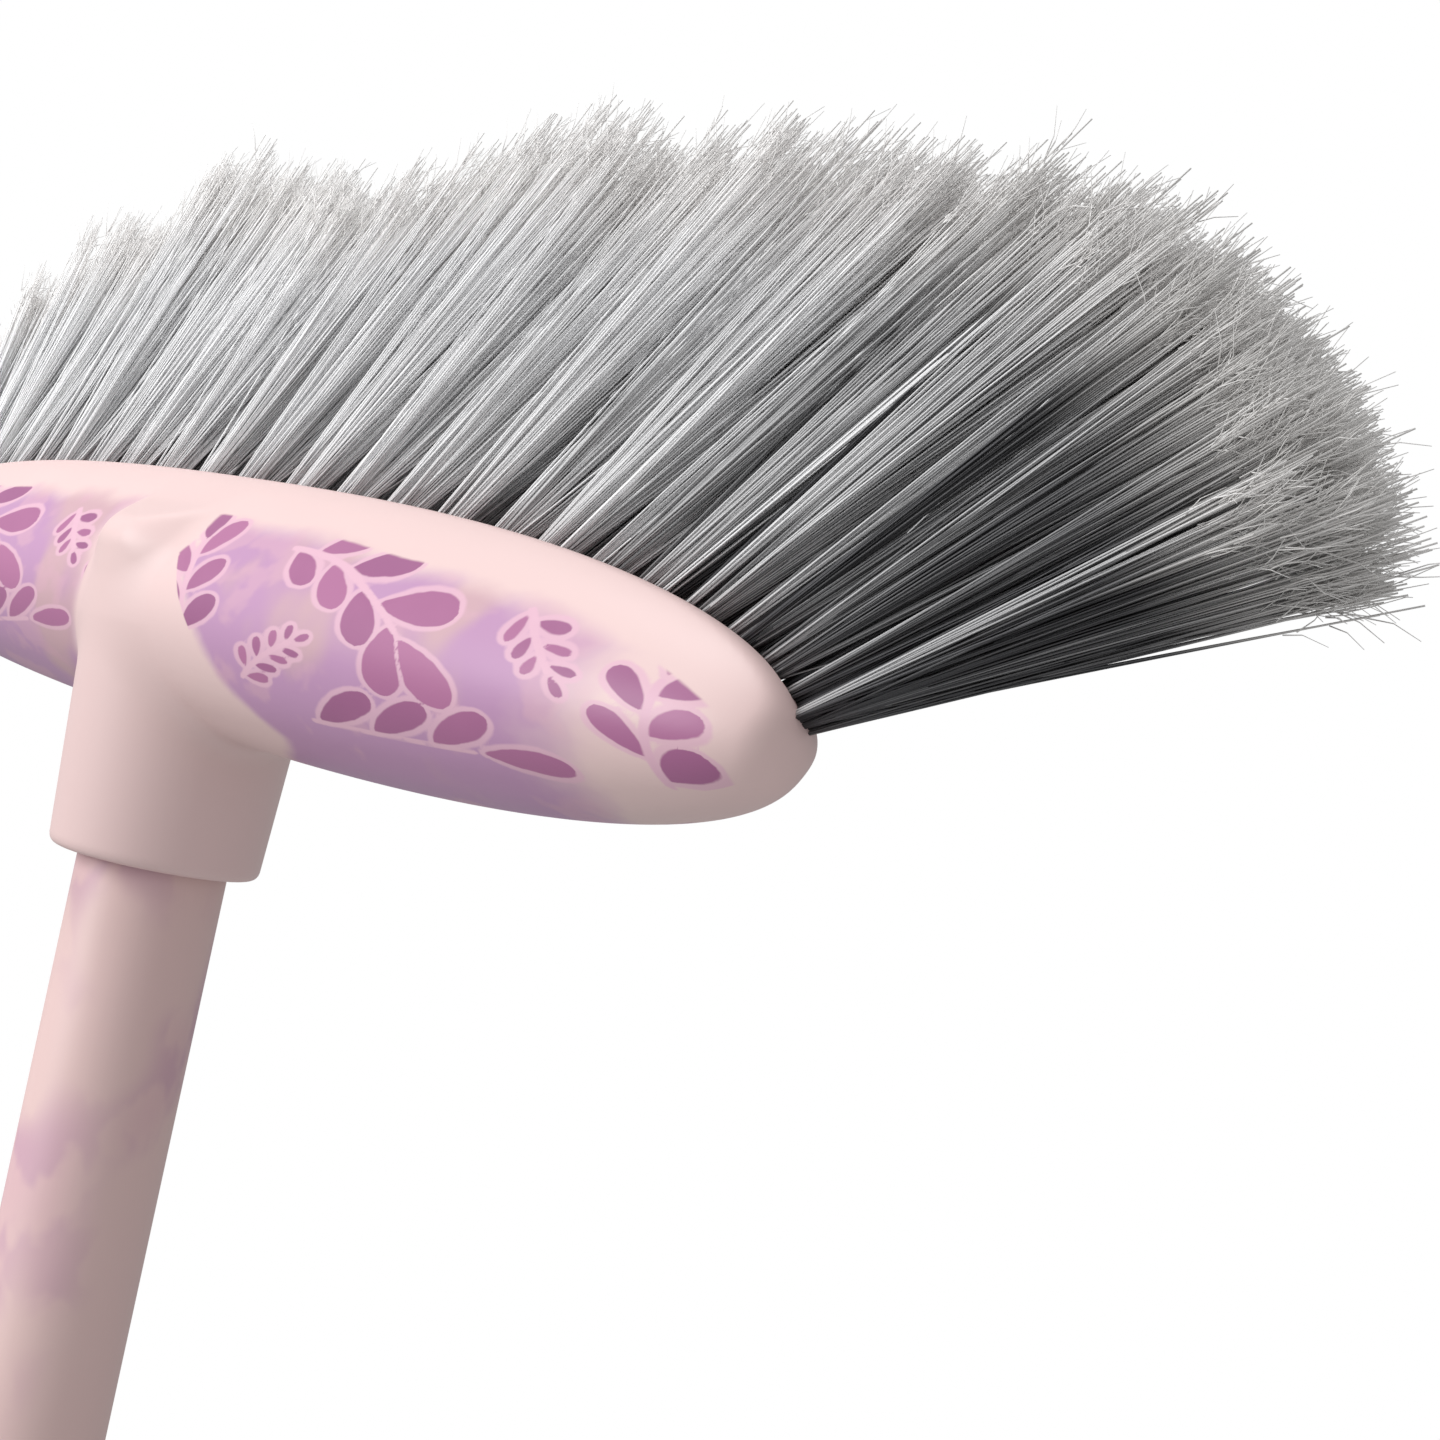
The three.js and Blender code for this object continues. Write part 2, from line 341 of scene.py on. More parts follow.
@dataclass(frozen=True)
class PrintedCover:
    """Pale pink plastic with leaf sprigs printed on a lilac watercolour ground.

    The spans of gaps and depths are in millimetres.
    """

    name: str = "printed_cover"
    pink: Triple = srgb(220, 193, 191)
    blush: Triple = srgb(204, 162, 178)
    lilac: Triple = srgb(182, 140, 176)
    cream: Triple = srgb(194, 159, 167)
    leaf: Triple = srgb(148, 88, 129)
    leaf_pale: Triple = srgb(170, 108, 147)
    line: Triple = srgb(214, 173, 190)
    wash: Lumps = Lumps(24, 3, 0.55)
    blot: Lumps = Lumps(70, 3, squeeze=(1.0, 1.0, 1.6))
    wobble: Lumps = Lumps(330)
    wobble_reach: float = 0.3
    cream_span: Span = (0.46, 0.56)
    blush_span: Span = (0.52, 0.6)
    blush_share: float = 0.5
    pale_span: Span = (0.4, 0.75)
    pale_share: float = 0.3
    ground_span: Span = (-1.5, 3.5)
    ground_wash: float = 8.0
    ground_blot: float = 6.0
    outline_span: Span = (0.4, 0.75)
    outline_share: float = 0.85
    leaf_span: Span = (-0.08, 0.12)
    stem_span: Span = (0.22, 0.5)
    print_span: Span = (-0.3, 0.3)
    print_blot: float = 1.5
    satin: Satin = Satin(0.4, grain_strength=0.3, gloss=0.35)

    def material(self) -> bpy.types.Material:
        """Builds the finish from the distances kept on the cover's points.

        Returns:
            The material.
        """
        graph = Graph(self.name)
        wash = graph.noise(self.wash)
        blot = graph.noise(self.blot)
        ground = graph.mix(wash.above(self.cream_span), self.lilac, self.cream)
        ground = graph.mix(blot.above(self.blush_span) * self.blush_share, ground, self.blush)
        washed = graph.attribute("wash_depth") + (wash - 0.5) * self.ground_wash
        washed = washed + (blot - 0.5) * self.ground_blot
        ground = graph.mix(washed.above(self.ground_span), self.pink, ground)
        leaf = graph.mix(graph.attribute("leaf_tone"), self.leaf, self.leaf_pale)
        leaf = graph.mix(blot.above(self.pale_span) * self.pale_share, leaf, self.leaf_pale)
        gap = graph.attribute("leaf_gap") + (graph.noise(self.wobble) - 0.5) * self.wobble_reach
        printed = graph.mix(gap.below(self.outline_span) * self.outline_share, ground, self.line)
        printed = graph.mix(gap.below(self.leaf_span), printed, leaf)
        printed = graph.mix(graph.attribute("stem_gap").below(self.stem_span), printed, self.line)
        inside = graph.attribute("print_depth") + (blot - 0.5) * self.print_blot
        return self.satin.finish(graph, graph.mix(inside.above(self.print_span), ground, printed), blot)


@dataclass(frozen=True)
class PrintedFilm:
    """Satin pink handle film with soft lilac clouds drawn out along the handle."""

    name: str = "handle_film_print"
    pink: Triple = srgb(218, 189, 186)
    rose: Triple = srgb(211, 176, 180)
    lilac: Triple = srgb(188, 148, 170)
    cloud: Lumps = Lumps(30, squeeze=(1.0, 1.0, 0.7))
    patch: Lumps = Lumps(130, squeeze=(1.0, 1.0, 0.7))
    rose_span: Span = (0.45, 0.58)
    patch_span: Span = (0.42, 0.56)
    cloud_span: Span = (0.43, 0.56)
    lilac_share: float = 0.6
    satin: Satin = Satin(0.42, 0.1, Lumps(1200, squeeze=(1.0, 1.0, 0.1)), 0.03 * MM, 0.4, 0.4)

    def material(self) -> bpy.types.Material:
        """Builds the finish.

        Returns:
            The material.
        """
        graph = Graph(self.name)
        cloud = graph.noise(self.cloud)
        patch = graph.noise(self.patch)
        tint = graph.mix(cloud.above(self.rose_span), self.pink, self.rose)
        clouded = patch.above(self.patch_span) * cloud.above(self.cloud_span)
        return self.satin.finish(graph, graph.mix(clouded * self.lilac_share, tint, self.lilac), cloud)


@dataclass(frozen=True)
class Filament:
    """Soft grey bristle with a pale flagged tip."""

    name: str = "bristle_filament"
    shaft: Triple = srgb(250, 250, 251)
    # The tone attribute mixes dark with shaft and tip_dark with tip; it holds painted shade as well as each
    # lock's random tone.
    dark: Triple = srgb(62, 62, 65)
    tip: Triple = srgb(251, 249, 248)
    tip_dark: Triple = srgb(222, 220, 218)
    tip_span: Span = (0.6, 1.0)
    roughness: float = 0.42
    tip_roughness: float = 0.2
    gloss: float = 0.5

    def material(self) -> bpy.types.Material:
        """Builds the finish from each filament's tone, which holds painted shade as well as its lock's
        random tone, and from the place along it.

        Returns:
            The material.
        """
        graph = Graph(self.name)
        along = graph.attribute("along")
        tone = graph.attribute("tone")
        # Painted shade: a low tone darkens the shaft; the pale tip colours lift it again towards the tips.
        grey = graph.mix(tone, self.dark, self.shaft)
        pale = graph.mix(tone, self.tip_dark, self.tip)
        return graph.surface(
            Base_Color=graph.mix(along.above(self.tip_span), grey, pale),
            Roughness=self.roughness + self.tip_roughness * along,
            Specular_IOR_Level=self.gloss,
        )


@dataclass(frozen=True)
class SteelTube:
    """Thin drawn steel with fine lengthwise lines."""

    name: str = "drawn_steel"
    light: Triple = (0.6, 0.6, 0.61)
    dark: Triple = (0.42, 0.42, 0.43)
    lines: Lumps = Lumps(700, 3, squeeze=(1.0, 1.0, 0.01))
    roughness: float = 0.25
    line_roughness: float = 0.2
    line_height: float = 0.02 * MM
    line_strength: float = 0.4

    def material(self) -> bpy.types.Material:
        """Builds the finish.

        Returns:
            The material.
        """
        graph = Graph(self.name)
        lines = graph.noise(self.lines)
        return graph.surface(
            Base_Color=graph.mix(lines, self.dark, self.light),
            Metallic=1.0,
            Roughness=self.roughness + self.line_roughness * lines,
            Normal=graph.bump(lines, self.line_height, self.line_strength),
        )


@dataclass(frozen=True)
class FloorPaint:
    """Plain pale floor with a barely seen mottle."""

    name: str = "pale_floor"
    light: Triple = (0.86, 0.86, 0.86)
    dark: Triple = (0.8, 0.8, 0.8)
    mottle: Lumps = Lumps(3, 3)
    roughness: float = 0.8

    def material(self) -> bpy.types.Material:
        """Builds the finish.

        Returns:
            The material.
        """
        graph = Graph(self.name)
        paint = graph.mix(graph.noise(self.mottle), self.dark, self.light)
        return graph.surface(Base_Color=paint, Roughness=self.roughness)


# Modelling helpers


def deselect() -> None:
    """Leaves edit mode and deselects everything."""
    if bpy.context.object and bpy.context.object.mode != "OBJECT":
        bpy.ops.object.mode_set(mode="OBJECT")
    bpy.ops.object.select_all(action="DESELECT")


def pick(piece: bpy.types.Object) -> None:
    """Makes one object the only one selected, and active.

    Args:
        piece: The object.
    """
    deselect()
    piece.select_set(True)
    bpy.context.view_layer.objects.active = piece


@contextmanager
def editing(piece: bpy.types.Object) -> Iterator[None]:
    """Opens one object in edit mode with all of it selected, and closes it afterwards.

    Args:
        piece: The object to open.

    Returns:
        A context in which mesh operators act on it.
    """
    pick(piece)
    bpy.ops.object.mode_set(mode="EDIT")
    bpy.ops.mesh.select_all(action="SELECT")
    yield
    bpy.ops.object.mode_set(mode="OBJECT")


def added(operator: Callable, **settings: object) -> bpy.types.Object:
    """Adds a primitive and moves its place into its mesh.

    Args:
        operator: The operator that adds it.
        settings: The operator's settings.

    Returns:
        The new object.
    """
    deselect()
    operator(**settings)
    piece = bpy.context.object
    pick(piece)
    bpy.ops.object.transform_apply(location=True, rotation=True, scale=True)
    return piece


def linked(name: str, data: bpy.types.ID) -> bpy.types.Object:
    """Makes an object of a mesh, lamp or camera and puts it in the scene.

    Args:
        name: The object's name.
        data: The mesh, lamp or camera.

    Returns:
        The object.
    """
    made = bpy.data.objects.new(name, data)
    bpy.context.scene.collection.objects.link(made)
    return made


def points_of(piece: bpy.types.Object) -> np.ndarray:
    """Reads the places of a mesh's points.

    Args:
        piece: The object.

    Returns:
        The places, one row each.
    """
    flat = np.empty(len(piece.data.vertices) * 3)
    piece.data.vertices.foreach_get("co", flat)
    return flat.reshape(-1, 3)


def set_points(piece: bpy.types.Object, points: np.ndarray) -> None:
    """Moves a mesh's points to new places."""
    piece.data.vertices.foreach_set("co", np.ascontiguousarray(points, np.float32).ravel())
    piece.data.update()


def keep_number(piece: bpy.types.Object, name: str, values: np.ndarray) -> None:
    """Keeps one number on each point, for a material to read."""
    attribute = piece.data.attributes.new(name, "FLOAT", "POINT")
    attribute.data.foreach_set("value", values.astype(np.float32))


def apply_modifier(piece: bpy.types.Object, kind: str, **settings: object) -> None:
    """Adds a modifier and applies it.

    Args:
        piece: The object to change.
        kind: The modifier's type.
        settings: Its properties.
    """
    pick(piece)
    modifier = piece.modifiers.new(kind.lower(), kind)
    for key, value in settings.items():
        setattr(modifier, key, value)
    bpy.ops.object.modifier_apply(modifier=modifier.name)


def cut(piece: bpy.types.Object, cutter: bpy.types.Object) -> None:
    """Cuts one closed mesh out of another and removes the cutter."""
    apply_modifier(piece, "BOOLEAN", operation="DIFFERENCE", object=cutter, solver="EXACT")
    bpy.data.objects.remove(cutter)


def recalculate(piece: bpy.types.Object) -> None:
    """Merges doubled points and turns every face outwards.

    Args:
        piece: The object to clean.
    """
    with editing(piece):
        bpy.ops.mesh.remove_doubles(threshold=MERGE)
        bpy.ops.mesh.normals_make_consistent(inside=False)


def smooth(piece: bpy.types.Object, degrees: float = 35.0) -> None:
    """Shades a mesh smooth where its faces meet at less than an angle."""
    pick(piece)
    bpy.ops.object.shade_smooth_by_angle(angle=math.radians(degrees))


def merged_copy(node: str, name: str) -> bpy.types.Object:
    """Copies a solid's mesh with its loose triangles joined up.

    Args:
        node: The solid to copy.
        name: The copy's name.

    Returns:
        The copy, shaded smooth between its edges.
    """
    copy = linked(name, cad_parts[node].data.copy())
    with editing(copy):
        bpy.ops.mesh.remove_doubles(threshold=MERGE)
        bpy.ops.mesh.tris_convert_to_quads(face_threshold=math.radians(5), shape_threshold=math.radians(60))
    smooth(copy)
    return copy


def dress(
    piece: bpy.types.Object,
    body: str,
    material: bpy.types.Material,
    nodes: Sequence[str] = (),
) -> None:
    """Gives a finished piece its material and its body, and hides the solids that it stands for.

    Args:
        piece: The finished object.
        body: The body that it rides on.
        material: Its finish.
        nodes: The solids that it stands for.
    """
    piece.data.materials.clear()
    piece.data.materials.append(material)
    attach(piece, body)
    if nodes:
        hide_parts(*nodes)
    LOG.info("%s: %d faces on %s", piece.name, len(piece.data.polygons), body)


# Maths of the head's form


def unit(vectors: np.ndarray) -> np.ndarray:
    """Vectors of length 1."""
    return vectors / np.linalg.norm(vectors, axis=1)[:, None]


def signed_power(values: np.ndarray, power: float) -> np.ndarray:
    """A power that keeps each value's sign."""
    return np.sign(values) * np.abs(values) ** power


def round_sum(first: np.ndarray, second: np.ndarray, power: float) -> np.ndarray:
    """Two shares summed so that 1 is a rounded square, or an ellipse at a power of 2."""
    return (first**power + second**power) ** (1 / power)


def smooth_least(first: np.ndarray, second: np.ndarray, round_over: Union[float, np.ndarray]) -> np.ndarray:
    """The smaller of two distances, rounded where they are alike, which fillets a join.

    Args:
        first, second: The distances.
        round_over: How alike they are where the rounding starts.

    Returns:
        The rounded distance.
    """
    share = np.maximum(round_over - np.abs(first - second), 0) / round_over
    return np.minimum(first, second) - share * share * round_over / 4


def gradient(field_of: Field, points: np.ndarray, step: float = 0.02 * MM) -> np.ndarray:
    """The slope of a field, by small steps each way.

    Args:
        field_of: The field.
        points: Where to measure.
        step: The step.

    Returns:
        One slope vector for each point.
    """
    slopes = []
    for shift in step * np.eye(3):
        slopes.append((field_of(points + shift) - field_of(points - shift)) / (2 * step))
    return np.stack(slopes, -1)


def level_distance(level: Field, points: np.ndarray, least_slope: float = 1e-6) -> np.ndarray:
    """About how far points lie outside the surface where a field is 1."""
    slope = np.linalg.norm(gradient(level, points), axis=-1)
    return (level(points) - 1) / np.maximum(slope, least_slope)


# The head


@dataclass(frozen=True)
class HeadForm:
    """The spindle that the head follows, in metres: X along it, -Y its front, +Z its bristle side."""

    half_length: float = 138.5 * MM
    half_width: float = 16.5 * MM
    belly: float = 16.9 * MM
    rim_height: float = 17.3 * MM
    crown: float = 23 * MM
    length_power: float = 2.5
    section_power: float = 2.3
    tilt: float = math.radians(34)
    axis_offset: float = 2.5 * MM
    socket_length: float = 39 * MM
    socket_radius: float = 15.4 * MM
    socket_draft: float = math.radians(2.9)
    bore_radius: float = 11.3 * MM
    bore_depth: float = 32 * MM
    ridge_top: float = 8.5 * MM
    ridge_slope: float = math.radians(27)
    ridge_flank: float = math.radians(60)
    ridge_half: float = 12.5 * MM
    ridge_foot: float = -5 * MM
    fillet: float = 3.8 * MM
    ridge_fillet: float = 1.2 * MM
    edge_round: float = 1.6 * MM
    facet_easing: float = 2.0
    flank_easing: float = 0.6
    rim_round: float = 2.2 * MM
    nose_round: float = 1.2 * MM
    nose_power: float = 8.0
    lip: float = 1.2 * MM
    seat_depth: float = 3.8 * MM
    seat_end: float = 136.6 * MM
    seat_round: float = 4 * MM
    block_drop: float = 0.5 * MM

    @property
    def crossing(self) -> np.ndarray:
        """Where the handle's axis crosses the head's length, in the row frame."""
        return np.array([0, 0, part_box("head_cover")[0].z + self.socket_length])

    @property
    def rim_half_width(self) -> float:
        """Half the width between the rims at mid length."""
        sine = (self.rim_height / self.crown) ** (self.section_power / 2)
        return self.half_width * math.cos(math.asin(sine)) ** (2 / self.section_power)

    @property
    def ridge_front(self) -> float:
        """How far the top of the ridge stands in front of the handle's axis."""
        return self.socket_radius + (self.ridge_top + self.socket_length) * math.tan(self.socket_draft)

    def along_handle(self, points: np.ndarray) -> tuple[np.ndarray, np.ndarray]:
        """Measures points against the handle's axis.

        Args:
            points: Places in the head's own frame.

        Returns:
            How far they lie behind the axis, and how far up along it.
        """
        c, s = math.cos(self.tilt), math.sin(self.tilt)
        y, z = points[..., 1] + self.axis_offset, points[..., 2]
        return y * c + z * s, z * c - y * s

    def to_row(self, points: np.ndarray) -> np.ndarray:
        """Moves points from the head's own frame to the row frame."""
        return np.stack([points[..., 0], *self.along_handle(points)], -1) + self.crossing

    def from_row(self, points: np.ndarray) -> np.ndarray:
        """Moves points from the row frame to the head's own frame.

        Args:
            points: Places in the row frame.

        Returns:
            The same places in the head's own frame.
        """
        c, s = math.cos(self.tilt), math.sin(self.tilt)
        x, y, z = np.moveaxis(points - self.crossing, -1, 0)
        return np.stack([x, y * c - z * s - self.axis_offset, y * s + z * c], -1)

    def tall(self, height: np.ndarray) -> np.ndarray:
        """How far the section reaches on the side of its widest line that a height is on."""
        return np.where(height > 0, self.crown, self.belly)

    def taper(self, x: np.ndarray) -> np.ndarray:
        """How far the section has shrunk at x, from 1 at mid length to 0 at the nose."""
        share = np.minimum(np.abs(x) / self.half_length, 1)
        return (1 - share**self.length_power) ** (1 / self.length_power)

    def rim(self, x: np.ndarray) -> np.ndarray:
        """The rim's height at x."""
        return self.rim_height * self.taper(x)

    def seat_half(self, x: np.ndarray) -> np.ndarray:
        """Half the width of the block's seat, with round ends.

        Args:
            x: Places along the head.

        Returns:
            The half widths there.
        """
        half = self.rim_half_width * self.taper(x) - self.lip
        into_end = np.clip((np.abs(x) - self.seat_end + self.seat_round) / self.seat_round, 0, 1)
        return np.maximum(half, 0) * np.sqrt(1 - into_end**2)

    def spindle_level(self, points: np.ndarray) -> np.ndarray:
        """A field that is 1 on the spindle's surface.

        Args:
            points: Places in the head's own frame.

        Returns:
            The field there.
        """
        x, y, z = np.abs(np.moveaxis(points, -1, 0))
        section = round_sum(y / self.half_width, z / self.tall(points[..., 2]), self.section_power)
        return round_sum(x / self.half_length, section, self.length_power)

    def rim_level(self, points: np.ndarray) -> np.ndarray:
        """A field that is 1 on the long curve that the rim follows.

        Args:
            points: Places in the head's own frame.

        Returns:
            The field there.
        """
        x = np.abs(points[..., 0]) / self.half_length
        z = np.maximum(points[..., 2], 0) / self.rim_height
        return round_sum(x, z, self.length_power)

    def socket_distance(self, points: np.ndarray, proud: np.ndarray) -> np.ndarray:
        """About how far points lie outside the socket, with its mouth, sloping top and the ridge's flanks.

        Args:
            points: Places in the head's own frame.
            proud: How far they stand off the spindle, which the flanks slope down to.

        Returns:
            The distances.
        """
        x = points[..., 0]
        across, up = self.along_handle(points)
        reach = self.socket_radius + (up + self.socket_length) * math.tan(self.socket_draft)
        shape = (np.hypot(x, across) - reach) * math.cos(self.socket_draft)
        facet = (up - self.ridge_top) * math.cos(self.ridge_slope)
        facet = facet - (across + self.ridge_front) * math.sin(self.ridge_slope)
        flank = (np.abs(x) - self.ridge_half) * math.cos(self.ridge_flank)
        flank = flank + proud * math.sin(self.ridge_flank)
        beside = smooth_least(flank, up - self.ridge_foot, 2 * self.edge_round)
        mouth = -(up + self.socket_length)
        for limit, easing in ((facet, self.facet_easing), (beside, self.flank_easing), (mouth, 1)):
            shape = -smooth_least(-shape, -limit, easing * self.edge_round)
        return shape

    def cover_distance(self, points: np.ndarray) -> np.ndarray:
        """Measures the whole cover: spindle and socket, joined by a fillet and opened at the rim.

        Args:
            points: Places in the head's own frame.

        Returns:
            About how far they lie outside it.
        """
        spindle = level_distance(self.spindle_level, points)
        rim = level_distance(self.rim_level, points)
        up = self.along_handle(points)[1]
        up_ridge = np.clip((up - self.ridge_foot) / (self.ridge_top - self.ridge_foot), 0, 1)
        fillet = self.fillet + (self.ridge_fillet - self.fillet) * up_ridge
        solid = smooth_least(spindle, self.socket_distance(points, spindle), fillet)
        into_nose = np.minimum(np.abs(points[..., 0]) / self.half_length, 1) ** self.nose_power
        return -smooth_least(-solid, -rim, self.rim_round + self.nose_round * into_nose)


def rim_bar(end: float, half: Field, low: Field, rise: float, cells: tuple[int, int]) -> bpy.types.Object:
    """Models a closed bar that follows the rim.

    Args:
        end: How far it runs from mid length.
        half: Half its width along the length.
        low: The height of its first face along the length.
        rise: How far it is drawn up from that face, or down.
        cells: Its faces along and across.

    Returns:
        The bar, in the head's own frame.
    """
    least_half = 0.2 * MM
    piece = added(bpy.ops.mesh.primitive_grid_add, x_subdivisions=cells[0], y_subdivisions=cells[1], size=2)
    flat = points_of(piece)
    x = end * np.sin(flat[:, 0] * math.pi / 2)
    set_points(piece, np.stack([x, flat[:, 1] * np.maximum(half(x), least_half), low(x)], -1))
    with editing(piece):
        bpy.ops.mesh.extrude_region_move(TRANSFORM_OT_translate={"value": (0, 0, rise)})
    recalculate(piece)
    return piece


@dataclass
class HeadCover:
    """The printed cover with its socket, its rim and the seat for the block."""

    form: HeadForm
    rings: int = 128
    round_sides: int = 96
    voxel: float = 0.62 * MM
    settle_steps: int = 6
    least_slope: float = 0.2
    seat_cells: tuple[int, int] = (260, 2)
    smooth_angle: float = 30.0
    band: float = 11.3 * MM
    band_taper: float = 0.3
    plain_nose: float = 4 * MM
    plain_back_nose: float = 16 * MM
    plain_socket: float = 1 * MM
    plain_beside: float = 11.5 * MM
    flare: float = 1.25
    back_leaves: float = 15 * MM
    plain_wash: float = 20 * MM
    wash_fade: float = 4.0
    most_rise: float = 4.0
    most_gap: float = 3.0
    most_depth: float = 12.0
    piece: Optional[bpy.types.Object] = None

    def build(self) -> None:
        """Models the cover: a spindle and a cone fused, settled on their filleted form, then cut."""
        self.piece = self.spindle()
        self.fuse(self.cone())
        self.settle()
        self.cut_seat()
        self.cut_bore()
        smooth(self.piece, self.smooth_angle)
        self.keep_print()

    def spindle(self) -> bpy.types.Object:
        """Models a sphere drawn out into the head's spindle and flattened at the rim.

        Returns:
            The spindle, in the head's own frame.
        """
        form = self.form
        add_sphere = bpy.ops.mesh.primitive_uv_sphere_add
        piece = added(add_sphere, segments=self.rings, ring_count=self.rings, radius=1)
        piece.name = "printed_head_cover"
        ball = points_of(piece)
        x = form.half_length * ball[:, 2]
        turn = np.arctan2(ball[:, 1], ball[:, 0])
        across = signed_power(np.cos(turn), 2 / form.section_power)
        rise = signed_power(np.sin(turn), 2 / form.section_power)
        shrink = form.taper(x)
        height = np.minimum(form.tall(rise) * rise, form.rim_height) * shrink
        set_points(piece, np.stack([x, form.half_width * across * shrink, height], -1))
        recalculate(piece)
        return piece

    def cone(self) -> bpy.types.Object:
        """Models the socket's cone, cut to its sloping top and flanks.

        Returns:
            The cone, in the head's own frame.
        """
        form = self.form
        tall = form.socket_length + 2 * form.ridge_top
        piece = added(
            bpy.ops.mesh.primitive_cone_add,
            vertices=self.round_sides,
            radius1=form.socket_radius,
            radius2=form.socket_radius + tall * math.tan(form.socket_draft),
            depth=tall,
            location=(0, 0, tall / 2 - form.socket_length),
        )
        self.slice(piece, (0, -form.ridge_front, form.ridge_top), form.ridge_slope)
        for hand in (-1, 1):
            middle = (hand * (form.ridge_half + form.fillet + tall / 2), 0, form.ridge_foot + tall / 2)
            cut(piece, added(bpy.ops.mesh.primitive_cube_add, size=tall, location=middle))
        turn = Matrix.Rotation(form.tilt, 4, "X")
        piece.data.transform(Matrix.Translation((0, -form.axis_offset, 0)) @ turn)
        self.slice(piece, (0, 0, form.rim_height / 2), 0.0)
        return piece

    @staticmethod
    def slice(piece: bpy.types.Object, through: Triple, slope: float) -> None:
        """Cuts off what lies above a plane that slopes up towards the back, and closes the cut.

        Args:
            piece: The object to cut.
            through: A point on the plane.
            slope: The plane's slope.
        """
        across = (0, -math.sin(slope), math.cos(slope))
        with editing(piece):
            bpy.ops.mesh.bisect(plane_co=through, plane_no=across, use_fill=True, clear_outer=True)

    def fuse(self, other: bpy.types.Object) -> None:
        """Joins the socket to the spindle and remeshes them as one skin.

        Args:
            other: The socket.
        """
        pick(self.piece)
        other.select_set(True)
        bpy.ops.object.join()
        apply_modifier(self.piece, "REMESH", mode="VOXEL", voxel_size=self.voxel)

    def settle(self) -> None:
        """Moves each point onto the true filleted form."""
        points = points_of(self.piece)
        for _ in range(self.settle_steps):
            slope = gradient(self.form.cover_distance, points)
            reach = np.maximum((slope**2).sum(-1), self.least_slope)
            step = np.clip(self.form.cover_distance(points) / reach, -self.voxel, self.voxel)
            points = points - step[:, None] * slope
        set_points(self.piece, points)

    def cut_seat(self) -> None:
        """Sinks the block's seat inside the lip."""
        form = self.form
        seat = rim_bar(
            form.seat_end,
            form.seat_half,
            lambda x: form.rim(x) - form.seat_depth,
            2 * form.half_width,
            self.seat_cells,
        )
        cut(self.piece, seat)

    def cut_bore(self) -> None:
        """Bores the socket for the handle and puts the finished cover in its place."""
        form = self.form
        set_points(self.piece, form.to_row(points_of(self.piece)))
        bore = added(
            bpy.ops.mesh.primitive_cylinder_add,
            vertices=self.round_sides,
            radius=form.bore_radius,
            depth=2 * form.bore_depth,
            location=(0, 0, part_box("head_cover")[0].z),
        )
        cut(self.piece, bore)

    def keep_print(self) -> None:
        """Keeps on each point how far it lies from the print's leaves and stems, and inside the print."""
        form = self.form
        points = form.from_row(points_of(self.piece))
        unrolled = self.unroll(points)
        leaf_gap = np.full(len(points), self.most_gap)
        leaf_tone = np.zeros(len(points))
        stem_gap = np.full(len(points), self.most_gap)
        for side in Side:
            on_side = np.sign(points[:, 1]) == side.value
            found = LeafPrint(side).measure(unrolled[on_side])
            leaf_gap[on_side], leaf_tone[on_side], stem_gap[on_side] = found
        depth = self.print_depth(points, unrolled[:, 1] * MM) / MM
        above_belly = unrolled[:, 1] + self.back_leaves / MM * form.taper(points[:, 0])
        off_nose = (form.half_length - np.abs(points[:, 0]) - self.plain_wash) / self.wash_fade / MM
        kept = {
            "leaf_gap": np.minimum(leaf_gap, self.most_gap),
            "leaf_tone": leaf_tone,
            "stem_gap": np.minimum(stem_gap, self.most_gap),
            "print_depth": np.where(points[:, 1] > 0, np.minimum(depth, above_belly), depth),
            "wash_depth": np.minimum(depth, off_nose),
        }
        for name, values in kept.items():
            keep_number(self.piece, name, np.clip(values, -self.most_depth, self.most_depth))

    def unroll(self, points: np.ndarray) -> np.ndarray:
        """Lays the skin flat.

        Args:
            points: Places in the head's own frame.

        Returns:
            Millimetres along the head, and round it from its widest line.
        """
        form = self.form
        tall = form.tall(points[:, 2])
        power = form.section_power / 2
        sine = signed_power(np.clip(points[:, 2] / tall, -self.most_rise, self.most_rise), power)
        cosine = (np.abs(points[:, 1]) / form.half_width) ** power
        around = np.arctan2(sine, cosine) * (form.half_width + tall) / 2 * form.taper(points[:, 0])
        return np.stack([points[:, 0], around], -1) / MM

    def print_depth(self, points: np.ndarray, around: np.ndarray) -> np.ndarray:
        """How far points lie inside the print: off the rim band, the noses, the ridge and its flare.

        Args:
            points: Places in the head's own frame.
            around: Their places round the section, from its widest line.

        Returns:
            The depth, less than 0 outside the print.
        """
        form = self.form
        x = points[:, 0]
        off_rim = form.rim(x) - points[:, 2] - self.band * form.taper(x) ** self.band_taper
        plain_nose = np.where(points[:, 1] > 0, self.plain_back_nose, self.plain_nose)
        off_nose = form.half_length - np.abs(x) - plain_nose
        flare = np.where(x > 0, self.flare, 0) * np.maximum(-around, 0)
        off_ridge = np.abs(x) - self.plain_beside - flare
        proud = level_distance(form.spindle_level, points)
        off_socket = form.socket_distance(points, proud) - self.plain_socket
        return np.min([off_rim, off_nose, off_ridge, off_socket], 0)

    def dress(self) -> None:
        """Gives the cover its print."""
        dress(self.piece, "head", PrintedCover().material(), ["head_cover"])


